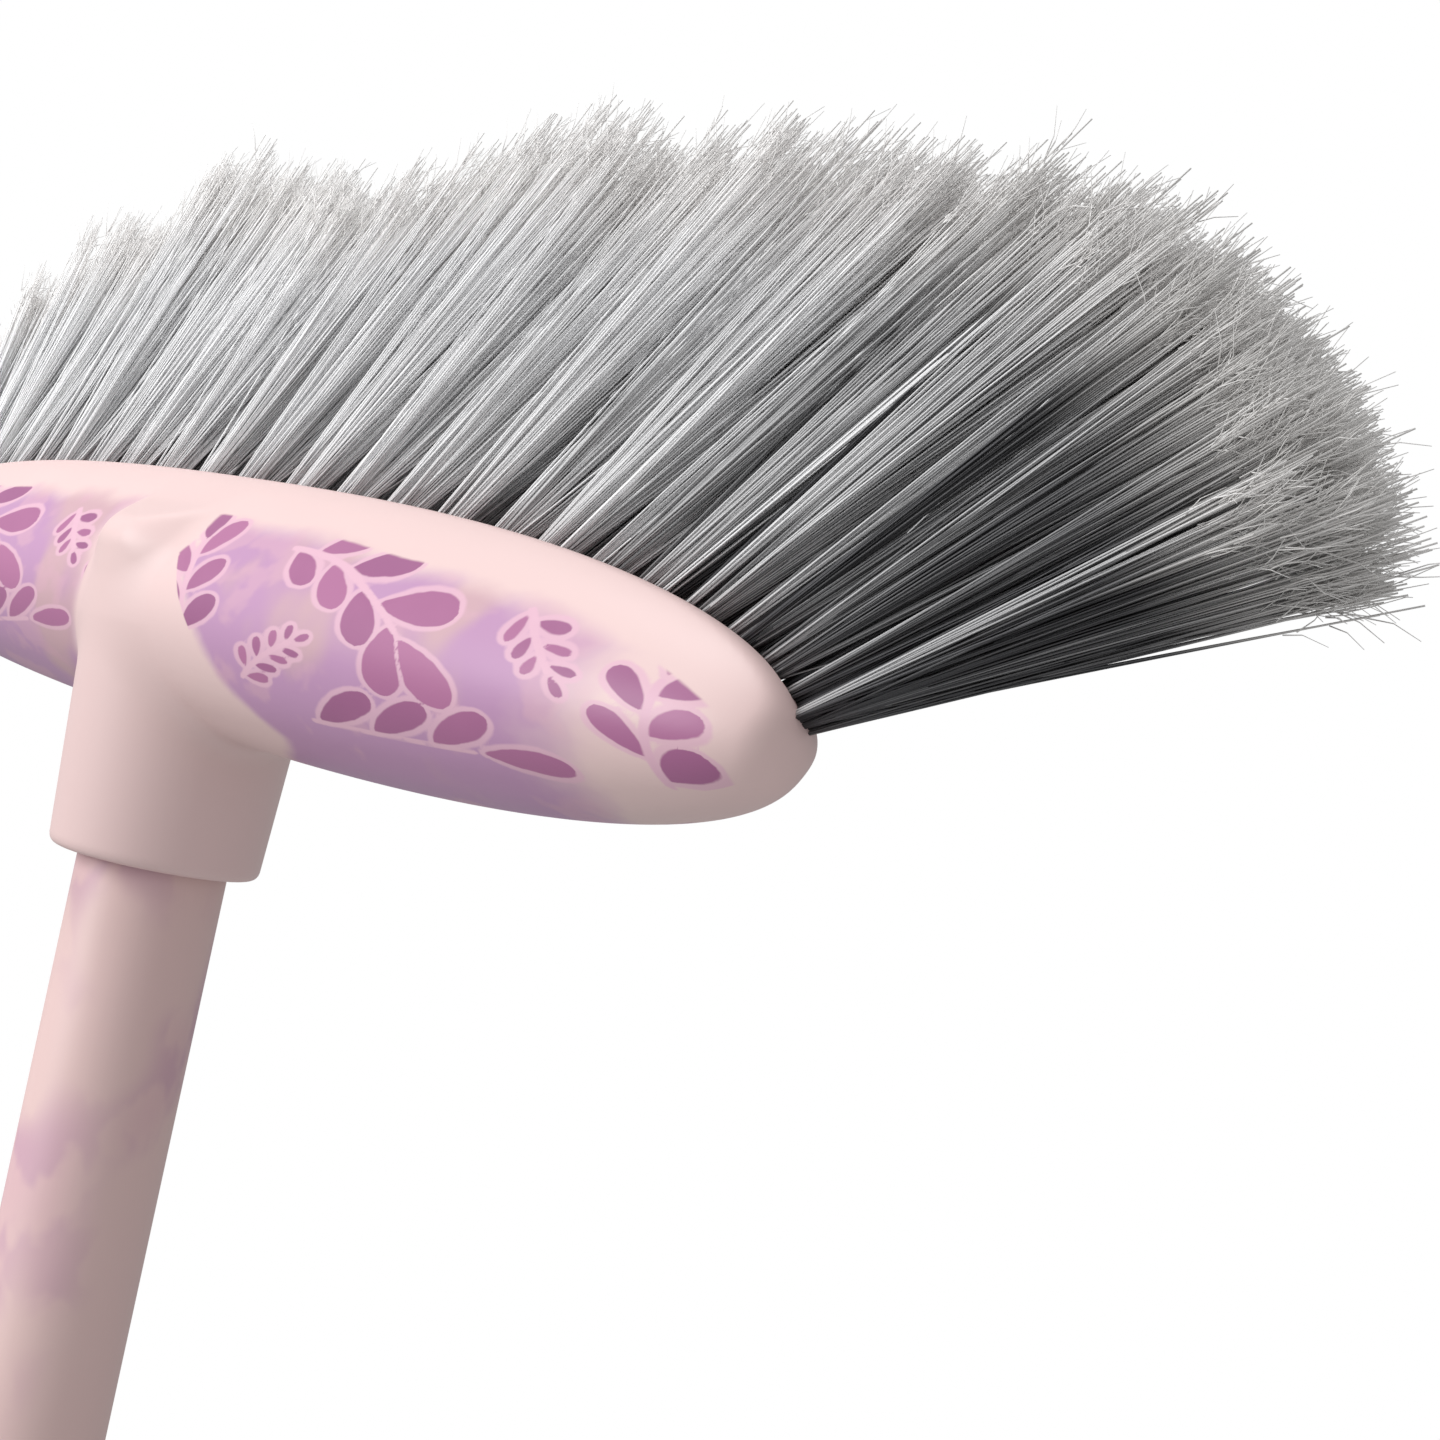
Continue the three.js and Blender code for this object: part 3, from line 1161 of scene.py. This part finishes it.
@dataclass(frozen=True)
class Sprig:
    """One curved stem with leaves, in millimetres and degrees on the unrolled skin."""

    kind: LeafKind
    x: float
    y: float
    heading: float
    bend: float
    length: float
    leaf: float
    growth: float = 1.0
    first_leaf: float = 0.04
    last_leaf: float = 0.94
    leaf_stalk: float = 0.45
    leaf_spacing: float = 0.75

    def stem(self, steps: int = 36) -> np.ndarray:
        """Draws the stem.

        Args:
            steps: How many points it has.

        Returns:
            The points along it.
        """
        way = np.radians(self.heading + self.bend * np.linspace(0, 1, steps))
        path = np.cumsum(np.stack([np.cos(way), np.sin(way)], -1), 0)
        return np.array([self.x, self.y]) + path * self.length / steps

    def leaves(self) -> list[tuple[np.ndarray, np.ndarray, float]]:
        """The leaves along the stem, on alternate sides or on one, with one at its end.

        Returns:
            Each leaf's base, tip and width.
        """
        plump, spread, hands = self.kind.value
        spread = math.radians(spread)
        stem = self.stem()
        found = []
        share = self.first_leaf
        while share < self.last_leaf:
            size = self.leaf * (1 + (self.growth - 1) * share)
            at = int(share * (len(stem) - 2))
            way = stem[at + 1] - stem[at]
            turn = math.atan2(way[1], way[0]) + hands[len(found) % len(hands)] * spread
            aim = np.array([math.cos(turn), math.sin(turn)])
            base = stem[at] + self.leaf_stalk * aim
            found.append((base, base + aim * size, plump * size))
            share += (plump * size + self.leaf_spacing) / math.sin(spread) / self.length / len(hands)
        way = stem[-1] - stem[-2]
        size = self.leaf * self.growth
        found.append((stem[-1], stem[-1] + way / np.linalg.norm(way) * size, plump * size))
        return found


@dataclass(frozen=True)
class LeafPrint:
    """A loose pattern of leaf sprigs on one face, drawn out and repeated along the head."""

    side: Side
    sprigs: tuple[Sprig, ...] = (
        Sprig(LeafKind.BROAD, 12, -13, 96, 14, 14, 6.4, 0.8),
        Sprig(LeafKind.BROAD, 20.5, 1.5, 4, -50, 21, 5.0, 1.8),
        Sprig(LeafKind.FERN, 21, -17, 58, -22, 10, 3.2, 0.7),
        Sprig(LeafKind.BLADE, 29, -20.5, 6, 8, 20, 9.0, 0.9),
        Sprig(LeafKind.BROAD, 63.5, -13, 104, -16, 13, 5.8, 0.75),
        Sprig(LeafKind.FERN, 49, 1.5, -44, -10, 8, 3.0, 0.8),
    )
    stretch: float = 2.0
    repeat: float = 64.0
    start: float = 5.0
    sprig_tone: float = 0.37
    leaf_tone: float = 0.23
    half_line: float = 0.25
    far: float = 50.0
    stem_stride: int = 3

    def measure(self, places: np.ndarray) -> tuple[np.ndarray, ...]:
        """Measures places against the whole pattern.

        Args:
            places: Places on the unrolled skin.

        Returns:
            The distance to the nearest leaf's edge or to where two leaves meet, that leaf's tone, and the
            distance to a stem.
        """
        shift = 0.0 if self.side is Side.FRONT else self.repeat / 2
        x = (places[:, 0] / self.stretch + shift - self.start) % self.repeat + self.start
        sheet = np.stack([x, places[:, 1]], -1)
        leaf_gap, next_gap, stem_gap = np.full((3, len(places)), self.far)
        leaf_tone = np.zeros(len(places))
        for number, sprig in enumerate(self.sprigs):
            stem = sprig.stem()
            for a, b in zip(stem[: -1 : self.stem_stride], stem[self.stem_stride :: self.stem_stride]):
                stem_gap = np.minimum(stem_gap, segment_gap(sheet, a, b))
            for order, (base, tip, width) in enumerate(sprig.leaves()):
                gap = leaf_shape(sheet, base, tip, width)
                nearer = gap < leaf_gap
                next_gap = np.where(nearer, leaf_gap, np.minimum(next_gap, gap))
                leaf_gap = np.minimum(leaf_gap, gap)
                tone = (number * self.sprig_tone + order * self.leaf_tone) % 1
                leaf_tone = np.where(nearer, tone, leaf_tone)
        return np.maximum(leaf_gap, self.half_line - (next_gap - leaf_gap) / 2), leaf_tone, stem_gap


def segment_gap(places: np.ndarray, a: np.ndarray, b: np.ndarray) -> np.ndarray:
    """The distance of flat places from a straight line between two points.

    Args:
        places: The flat places.
        a, b: The line's ends.

    Returns:
        The distances.
    """
    line = b - a
    share = np.clip((places - a) @ line / (line @ line), 0, 1)
    return np.linalg.norm(places - a - share[:, None] * line, axis=1)


def leaf_shape(places: np.ndarray, base: np.ndarray, tip: np.ndarray, width: float) -> np.ndarray:
    """About how far flat places lie outside a leaf that is slim at its base and blunt at its tip.

    Args:
        places: The flat places.
        base, tip: The leaf's ends.
        width: Its greatest width.

    Returns:
        The distances, less than 0 inside.
    """
    base_power = 0.8
    tip_power = 0.45
    edge_slant = 0.85
    bluntness = 0.38
    length = np.linalg.norm(tip - base)
    aim = (tip - base) / length
    along = (places - base) @ aim / length
    across = np.abs((places - base) @ np.array([-aim[1], aim[0]]))
    share = np.clip(along, 0, 1)
    widest_at = base_power / (base_power + tip_power)
    swell = share**base_power * (1 - share) ** tip_power
    widest = widest_at**base_power * (1 - widest_at) ** tip_power
    beside = (across - width / 2 * swell / widest) * edge_slant
    pointed = np.where(share == along, beside, np.hypot(across, (along - share) * length))
    blunt = bluntness * width
    return np.minimum(pointed, np.hypot(across, along * length - length + blunt) - blunt)


@dataclass
class TuftBlock:
    """The plain plate that closes the cover under the bristles."""

    form: HeadForm
    cells: tuple[int, int] = (200, 6)
    thickness: float = 3 * MM
    gap: float = 0.15 * MM
    finish: Moulding = Moulding("block_pink", srgb(206, 172, 172), Satin(0.45))
    piece: Optional[bpy.types.Object] = None

    def build(self) -> None:
        """Models the plate as a strip that follows the rim, thickened downwards."""
        form = self.form
        self.piece = rim_bar(
            form.seat_end - self.gap,
            lambda x: form.seat_half(x) - self.gap,
            lambda x: form.rim(x) - form.block_drop,
            -self.thickness,
            self.cells,
        )
        self.piece.name = "tuft_plate"
        set_points(self.piece, form.to_row(points_of(self.piece)))
        smooth(self.piece)

    def dress(self) -> None:
        """Gives the plate its plain pink."""
        dress(self.piece, "head", self.finish.material(), ["tuft_block"])


# The bristles


def straight_strand(segments: int) -> tuple[np.ndarray, list[tuple[int, ...]]]:
    """Models one straight strand of unit length: a small triangle drawn up in steps.

    Args:
        segments: How many steps it has.

    Returns:
        Its points and its faces.
    """
    piece = added(bpy.ops.mesh.primitive_circle_add, vertices=3, radius=1, fill_type="NGON")
    with editing(piece):
        for _ in range(segments):
            bpy.ops.mesh.extrude_region_move(TRANSFORM_OT_translate={"value": (0, 0, 1 / segments)})
        bpy.ops.mesh.select_all(action="SELECT")
        bpy.ops.mesh.normals_make_consistent(inside=False)
    points = points_of(piece)
    faces = [tuple(face.vertices) for face in piece.data.polygons]
    bpy.data.objects.remove(piece)
    return points, faces


def mesh_of_copies(name: str, places: np.ndarray, faces: list[tuple[int, ...]]) -> bpy.types.Object:
    """One mesh of many copies of a small shape.

    Args:
        name: The object's name.
        places: Each copy's points.
        faces: The small shape's faces.

    Returns:
        The object.
    """
    count, points_each = places.shape[:2]
    sizes = np.array([len(face) for face in faces])
    corners = np.concatenate([np.array(face) for face in faces])
    loops = (corners[None] + np.arange(count)[:, None] * points_each).ravel()
    starts = np.concatenate([[0], np.cumsum(np.tile(sizes, count))[:-1]])
    mesh = bpy.data.meshes.new(name)
    mesh.vertices.add(count * points_each)
    mesh.vertices.foreach_set("co", places.astype(np.float32).ravel())
    mesh.loops.add(len(loops))
    mesh.loops.foreach_set("vertex_index", loops.astype(np.int32))
    mesh.polygons.add(len(starts))
    mesh.polygons.foreach_set("loop_start", starts.astype(np.int32))
    mesh.update(calc_edges=True)
    mesh.validate()
    return linked(name, mesh)


@dataclass
class Strands:
    """Many alike strands in the head's own frame, each with its own base, way, length and bend."""

    base: np.ndarray
    way: np.ndarray
    length: np.ndarray
    bend: np.ndarray
    radius: float
    thinning: float

    def sides(self) -> tuple[np.ndarray, np.ndarray]:
        """Two unit vectors across each strand."""
        side = unit(np.cross(np.array([0.0, 1.0, 0.0]), self.way))
        return side, np.cross(self.way, side)

    def drift(self) -> np.ndarray:
        """How far each tip is bent aside."""
        side, other = self.sides()
        return self.bend[:, :1] * side + self.bend[:, 1:] * other

    def tips(self) -> np.ndarray:
        """The places of the tips."""
        return self.base + self.length[:, None] * self.way + self.drift()

    def model(self, name: str, form: HeadForm, segments: int) -> tuple[bpy.types.Object, np.ndarray]:
        """Models every strand as a copy of one straight strand, bent along its own path.

        Args:
            name: The object's name.
            form: The head that they stand on.
            segments: How many steps a strand has.

        Returns:
            The object, and how far up a strand each of its points lies.
        """
        points, faces = straight_strand(segments)
        side, other = self.sides()
        share = points[:, 2]
        thick = self.radius * (1 - self.thinning * share)
        places = self.base[:, None] + (self.length[:, None] * share)[..., None] * self.way[:, None]
        places += (share**2)[:, None] * self.drift()[:, None]
        across = (points[:, 0] * thick)[:, None] * side[:, None]
        across += (points[:, 1] * thick)[:, None] * other[:, None]
        return mesh_of_copies(name, form.to_row(places + across), faces), share


@dataclass
class BristleRow:
    """One row of tufts, each a bundle of fine filaments in locks, with split ends."""

    form: HeadForm
    row: int
    rows: int = 4
    seed: int = 100
    tufts: int = 48
    locks: int = 7
    per_lock: int = 12
    length: float = 75.7 * MM
    sunk: float = 2.2 * MM
    radius: float = 0.18 * MM
    thinning: float = 0.4
    segments: int = 5
    last_x: float = 134.8 * MM
    border: float = 1.1 * MM
    narrowest: float = 1 * MM
    end_wall: float = 1.1 * MM
    hole: float = 1.2 * MM
    hole_share: float = 0.36
    stagger: float = 0.18
    crowding: float = 1.25
    lock_reach: float = 0.8
    lock_size: float = 0.16
    fan_linear: float = 30.0
    fan_steep: float = 25.0
    fan_power: float = 16.0
    end_calm: float = 0.5
    lean: float = 3.0
    most_lean: float = 8.0
    splay: float = 5.0
    lock_splay: float = 1.1
    stray: float = 0.5
    stray_share: float = 0.02
    stray_times: float = 14.0
    lock_bow: float = 0.9 * MM
    bow: float = 0.6 * MM
    end_shortening: float = 10 * MM
    end_power: float = 6.0
    # Each wave of the trim is its place along the head, its width and its rise, in millimetres
    trim_waves: tuple[Triple, ...] = ((-131, 10, -6), (-78, 15, 8), (-28, 20, -8), (8, 18, 4))
    lock_ragged: float = 1.9 * MM
    ragged: float = 2 * MM
    long_share: float = 0.012
    long_span: Span = (1 * MM, 5 * MM)
    flag_segments: int = 2
    flag_length: float = 7 * MM
    flag_span: Span = (0.5, 1.0)
    flag_back: Span = (0.5, 1.4)
    flag_radius: float = 0.09 * MM
    flag_thinning: float = 0.5
    flags_each: int = 2
    flag_turn: float = 0.24
    flag_curl: float = 1.3 * MM
    # Painted shade: the next four darken more and more of the locks towards one end of the row, standing in
    # for the shade on that end.
    painted_gentle_shade: float = 0.16
    painted_end_shade: float = 3.4
    painted_shade_power: float = 12.0
    painted_end_fade: float = 0.5
    tone_spread: float = 0.05
    # Painted shade: the inner rows are darkened at their roots, standing in for the shade between the
    # tufts.
    painted_root_shade: float = 0.95
    painted_shade_reach: float = 0.55
    piece: Optional[bpy.types.Object] = field(default=None, repr=False)
    flags: Optional[bpy.types.Object] = field(default=None, repr=False)

    @property
    def lock_count(self) -> int:
        """How many locks the row has."""
        return self.tufts * self.locks

    def build(self) -> None:
        """Models the row's filaments and their split ends."""
        random = np.random.default_rng(self.seed + self.row)
        roots, offset, lock = self.roots(random)
        along = roots[:, 0] / self.last_x
        base = np.c_[roots, self.form.rim(roots[:, 0]) - self.form.block_drop - self.sunk]
        way = self.ways(roots, offset, lock, random)
        length = self.lengths(along, lock, random)
        bend = random.normal(0, self.lock_bow, (self.lock_count, 2))[lock]
        bend = bend + random.normal(0, self.bow, (len(lock), 2))
        filaments = Strands(base, way, length, bend, self.radius, self.thinning)
        self.piece, share = filaments.model(f"bristles_row_{self.row + 1}", self.form, self.segments)
        tone = self.tone_with_painted_shade(along, lock, random)
        keep_number(self.piece, "along", np.tile(share, len(lock)))
        # The tone kept on the points holds the lock's random tone, the painted shade along the row and the
        # painted shade at the inner rows' roots.
        keep_number(self.piece, "tone", np.outer(tone, self.painted_root_shading(share)).ravel())
        pick(self.piece)
        bpy.ops.object.shade_smooth()
        self.split_ends(filaments, tone, random)

    def roots(self, random: np.random.Generator) -> tuple[np.ndarray, np.ndarray, np.ndarray]:
        """Where the filaments stand, and how far each is from the middle of its tuft.

        Args:
            random: Where the small differences come from.

        Returns:
            The roots along and across the head, their offsets in the tuft, and each one's lock.
        """
        lock = np.repeat(np.arange(self.lock_count), self.per_lock)
        tuft = lock // self.locks
        spread = self.crowding * (2 * tuft / (self.tufts - 1) - 1)
        centre_x = self.last_x * np.sin(spread) / math.sin(self.crowding)
        pitch = 2 * (self.form.seat_half(centre_x) - self.border) / self.rows
        aside = np.where((tuft + self.row) % 2 == 0, self.stagger, -self.stagger)
        centre_y = (self.row - (self.rows - 1) / 2 + aside) * pitch
        reach = np.sqrt(random.uniform(0, 1, self.lock_count))
        turn = random.uniform(0, 2 * math.pi, self.lock_count)
        middle = np.stack([reach * np.cos(turn), reach * np.sin(turn)], -1)
        offset = self.lock_reach * middle[lock] + random.normal(0, self.lock_size, (len(lock), 2))
        hole = np.stack([np.full(len(lock), self.hole), np.minimum(self.hole_share * pitch, self.hole)], -1)
        roots = np.stack([centre_x, centre_y], -1) + offset * hole
        last_root = self.form.seat_end - self.end_wall
        roots[:, 0] = np.clip(roots[:, 0], -last_root, last_root)
        return roots, offset, lock

    def ways(
        self, roots: np.ndarray, offset: np.ndarray, lock: np.ndarray, random: np.random.Generator
    ) -> np.ndarray:
        """The way that each filament points: fanned with its tuft, splayed with its lock.

        Args:
            roots: Where the filaments stand.
            offset: Their places in their tufts.
            lock: Each filament's lock.
            random: Where the small differences come from.

        Returns:
            Unit vectors.
        """
        along = np.clip(roots[:, 0] / self.last_x, -1, 1)
        across = roots[:, 1] / np.maximum(self.form.seat_half(roots[:, 0]), self.narrowest)
        lock_turn = random.normal(0, self.lock_splay, (self.lock_count, 2))[lock]
        loose = random.uniform(0, 1, len(lock)) < self.stray_share
        stray = self.stray * np.where(loose, self.stray_times, 1)
        turn = self.splay * offset + lock_turn + random.normal(0, 1, (len(lock), 2)) * stray[:, None]
        calm = 1 - self.end_calm * np.abs(along) ** self.end_power
        fan = self.fan_linear * along + self.fan_steep * signed_power(along, self.fan_power)
        fan = np.radians(fan + turn[:, 0] * calm)
        lean = np.radians(np.clip(self.lean * across + turn[:, 1], -self.most_lean, self.most_lean))
        return unit(np.stack([np.sin(fan), np.sin(lean), np.cos(fan)], -1))

    def lengths(self, along: np.ndarray, lock: np.ndarray, random: np.random.Generator) -> np.ndarray:
        """The filaments' lengths: a gentle uneven trim, ragged from lock to lock, with a few long ones.

        Args:
            along: The place along the row, from -1 to 1.
            lock: Each filament's lock.
            random: Where the small differences come from.

        Returns:
            The lengths.
        """
        x = along * self.last_x / MM
        wave = sum(rise * np.exp(-(((x - at) / wide) ** 2)) for at, wide, rise in self.trim_waves)
        length = self.length - self.end_shortening * np.abs(along) ** self.end_power + wave * MM
        length = length + random.normal(0, self.lock_ragged, self.lock_count)[lock]
        length = length - np.abs(random.normal(0, self.ragged, len(lock)))
        long = random.uniform(0, 1, len(lock)) < self.long_share
        return length + long * random.uniform(*self.long_span, len(lock))

    def tone_with_painted_shade(self, along: np.ndarray, lock: np.ndarray, random: np.random.Generator) -> np.ndarray:
        """How light each filament is: a random tone for each lock, with painted shade that darkens more and
        more of the locks towards one end of the row.

        Args:
            along: The place along the row, from -1 to 1.
            lock: Each filament's lock.
            random: Where the small differences come from.

        Returns:
            Each filament's tone, from 0 for dark to 1 for pale, with the painted shade in it.
        """
        share = np.clip((along + 1) / 2, 0, 1)
        # Painted shade: more and more of the locks are darkened towards one end, and the very end is
        # darkened further.
        painted_shade_curve = self.painted_gentle_shade * share + self.painted_end_shade * share**self.painted_shade_power
        tone = random.uniform(0, 1, self.lock_count)[lock] ** painted_shade_curve
        tone = tone * (1 - self.painted_end_fade * share ** (2 * self.painted_shade_power))
        return np.clip(tone + random.normal(0, self.tone_spread, len(lock)), 0, 1)

    def painted_root_shading(self, share: np.ndarray) -> np.ndarray:
        """How much of its tone a filament keeps up its length: painted shade darkens the inner rows at
        their roots, where the tufts shade each other.
        """
        inner = 0 < self.row < self.rows - 1
        return 1 - inner * self.painted_root_shade * np.clip(1 - share / self.painted_shade_reach, 0, 1)

    def split_ends(self, filaments: Strands, tone: np.ndarray, random: np.random.Generator) -> None:
        """Models the split ends: a few short fine hairs at each tip, turned a little aside.

        Args:
            filaments: The row's filaments.
            tone: How light each one is, with the painted shade along the row in it.
            random: Where the small differences come from.
        """
        tips = np.repeat(filaments.tips(), self.flags_each, 0)
        way = np.repeat(filaments.way, self.flags_each, 0)
        count = len(tips)
        aside = unit(way + random.normal(0, self.flag_turn, (count, 3)))
        length = random.uniform(*self.flag_span, count) * self.flag_length
        back = random.uniform(*self.flag_back, count) * self.flag_length
        curl = random.normal(0, self.flag_curl, (count, 2))
        base = tips - back[:, None] * way
        hairs = Strands(base, aside, length, curl, self.flag_radius, self.flag_thinning)
        self.flags, share = hairs.model(f"flagged_ends_row_{self.row + 1}", self.form, self.flag_segments)
        keep_number(self.flags, "along", np.ones(count * len(share)))
        keep_number(self.flags, "tone", np.repeat(tone, self.flags_each * len(share)))

    def dress(self, material: bpy.types.Material) -> None:
        """Gives the row its filament finish."""
        dress(self.piece, "head", material, [f"tuft_row_{self.row + 1}"])
        dress(self.flags, "head", material)


# The handle


@dataclass
class Handle:
    """The film-covered tube with its ferrule and end cap."""

    film_sides: int = 96
    film_thickness: float = 0.4 * MM
    film_edge: float = 0.15 * MM
    cap_edge: float = 0.6 * MM
    edge_angle: float = 40.0
    ferrule_finish: Moulding = Moulding("ferrule_grey", srgb(140, 136, 138), Satin(0.45))
    cap_finish: Moulding = Moulding("cap_pink", srgb(226, 194, 194), Satin(0.33))
    pieces: dict = field(default_factory=dict)

    def build(self) -> None:
        """Models the film as a round tube, and copies the plain solids, the cap's with its edges eased."""
        self.pieces["handle_film"] = self.film()
        self.pieces["handle_tube"] = merged_copy("handle_tube", "steel_tube")
        self.pieces["thread_ferrule"] = merged_copy("thread_ferrule", "screw_ferrule")
        self.pieces["end_cap"] = self.cap()

    def film(self) -> bpy.types.Object:
        """Models a cylinder without ends, thickened inwards and eased at both ends.

        Returns:
            The film.
        """
        low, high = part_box("handle_film")
        piece = added(
            bpy.ops.mesh.primitive_cylinder_add,
            vertices=self.film_sides,
            radius=high.x,
            depth=high.z - low.z,
            end_fill_type="NOTHING",
            location=(0, 0, (low.z + high.z) / 2),
        )
        piece.name = "printed_handle_film"
        recalculate(piece)
        apply_modifier(piece, "SOLIDIFY", thickness=self.film_thickness, offset=-1)
        apply_modifier(piece, "BEVEL", width=self.film_edge, segments=2, limit_method="ANGLE")
        smooth(piece, self.edge_angle)
        return piece

    def cap(self) -> bpy.types.Object:
        """Copies the end cap and rounds its edges over.

        Returns:
            The cap.
        """
        piece = merged_copy("end_cap", "hanging_cap")
        apply_modifier(
            piece,
            "BEVEL",
            width=self.cap_edge,
            segments=3,
            limit_method="ANGLE",
            angle_limit=math.radians(self.edge_angle),
        )
        smooth(piece, self.edge_angle)
        return piece

    def dress(self) -> None:
        """Gives each piece of the handle its finish."""
        for node, body, slot, finish in (
            ("handle_film", "handle", "film", PrintedFilm()),
            ("handle_tube", "tube", "tube", SteelTube()),
            ("thread_ferrule", "handle", "ferrule", self.ferrule_finish),
            ("end_cap", "handle", "cap", self.cap_finish),
        ):
            dress(self.pieces[node], body, finish.material(), [node])


# The studio


@dataclass(frozen=True)
class Lamp:
    """A soft square lamp, placed from the head's crossing point and aimed at it."""

    name: str
    offset: Triple
    size: float
    watts: float


@dataclass
class Studio:
    """The floor, the light and the camera."""

    form: HeadForm
    eye: Triple = (349.97 * MM, -168.41 * MM, 3.07 * MM)
    forward: Triple = (-0.79716, 0.60367, -0.01041)
    right: Triple = (0.58792, 0.78005, 0.21417)
    focal_pixels: float = 2587.9
    image_pixels: float = 1440.0
    sensor: float = 36.0
    nearest: float = 10 * MM
    floor_size: float = 3.0
    floor_gap: float = 0.5 * MM
    backdrop: float = 1.0
    ambient: float = 0.45
    lamps: tuple[Lamp, ...] = (
        Lamp("top_light", (-0.3, -0.2, 0.9), 0.5, 4.6),
        Lamp("key_light", (-0.27, -0.7, 0.26), 0.45, 5.3),
        Lamp("fill_light", (0.9, -0.5, 0.1), 0.9, 1.2),
    )

    def build(self) -> None:
        """Makes the floor, the lamps, the white surround and the camera."""
        self.floor()
        for lamp in self.lamps:
            self.lamp(lamp)
        self.surround()
        self.camera()
        bpy.context.scene.view_settings.view_transform = "Standard"

    def floor(self) -> None:
        """A plain pale floor just under the handle's end."""
        place = (0, 0, CAD_BOX[0].z - self.floor_gap)
        floor = added(bpy.ops.mesh.primitive_plane_add, size=self.floor_size, location=place)
        floor.name = "floor"
        floor.data.materials.append(FloorPaint().material())

    def lamp(self, lamp: Lamp) -> None:
        """Hangs one lamp, out of the camera's sight.

        Args:
            lamp: Its place, size and strength.
        """
        target = Vector(self.form.crossing)
        light = bpy.data.lights.new(lamp.name, "AREA")
        light.energy = lamp.watts
        light.size = lamp.size
        hung = linked(lamp.name, light)
        hung.location = target + Vector(lamp.offset)
        hung.rotation_mode = "QUATERNION"
        hung.rotation_quaternion = (target - hung.location).to_track_quat("-Z", "Y")
        hung.visible_camera = False

    def surround(self) -> None:
        """A white surround that the camera sees, with less of it falling on the broom."""
        world = bpy.data.worlds.new("white_surround")
        world.use_nodes = True
        nodes, links = world.node_tree.nodes, world.node_tree.links
        nodes.clear()
        path = nodes.new("ShaderNodeLightPath")
        strength = nodes.new("ShaderNodeMapRange")
        strength.inputs["To Min"].default_value = self.ambient
        strength.inputs["To Max"].default_value = self.backdrop
        background = nodes.new("ShaderNodeBackground")
        background.inputs["Color"].default_value = (1, 1, 1, 1)
        output = nodes.new("ShaderNodeOutputWorld")
        links.new(path.outputs["Is Camera Ray"], strength.inputs["Value"])
        links.new(strength.outputs["Result"], background.inputs["Strength"])
        links.new(background.outputs["Background"], output.inputs["Surface"])
        bpy.context.scene.world = world

    def camera(self) -> None:
        """The photograph's camera, placed from the head's crossing point."""
        data = bpy.data.cameras.new("camera")
        data.sensor_width = self.sensor
        data.lens = self.focal_pixels / self.image_pixels * self.sensor
        data.clip_start = self.nearest
        camera = linked("camera", data)
        back = -Vector(self.forward).normalized()
        up = back.cross(Vector(self.right)).normalized()
        turn = Matrix((up.cross(back), up, back)).transposed().to_4x4()
        camera.matrix_world = Matrix.Translation(Vector(self.form.crossing) + Vector(self.eye)) @ turn
        bpy.context.scene.camera = camera


def main() -> None:
    """Builds and dresses the broom, then the studio round it."""
    form = HeadForm()
    cover = HeadCover(form)
    cover.build()
    cover.dress()
    block = TuftBlock(form)
    block.build()
    block.dress()
    filament = Filament().material()
    for row in range(BristleRow.rows):
        bristles = BristleRow(form, row)
        bristles.build()
        bristles.dress(filament)
    handle = Handle()
    handle.build()
    handle.dress()
    Studio(form).build()
    deselect()


if __name__ == "__main__":
    main()
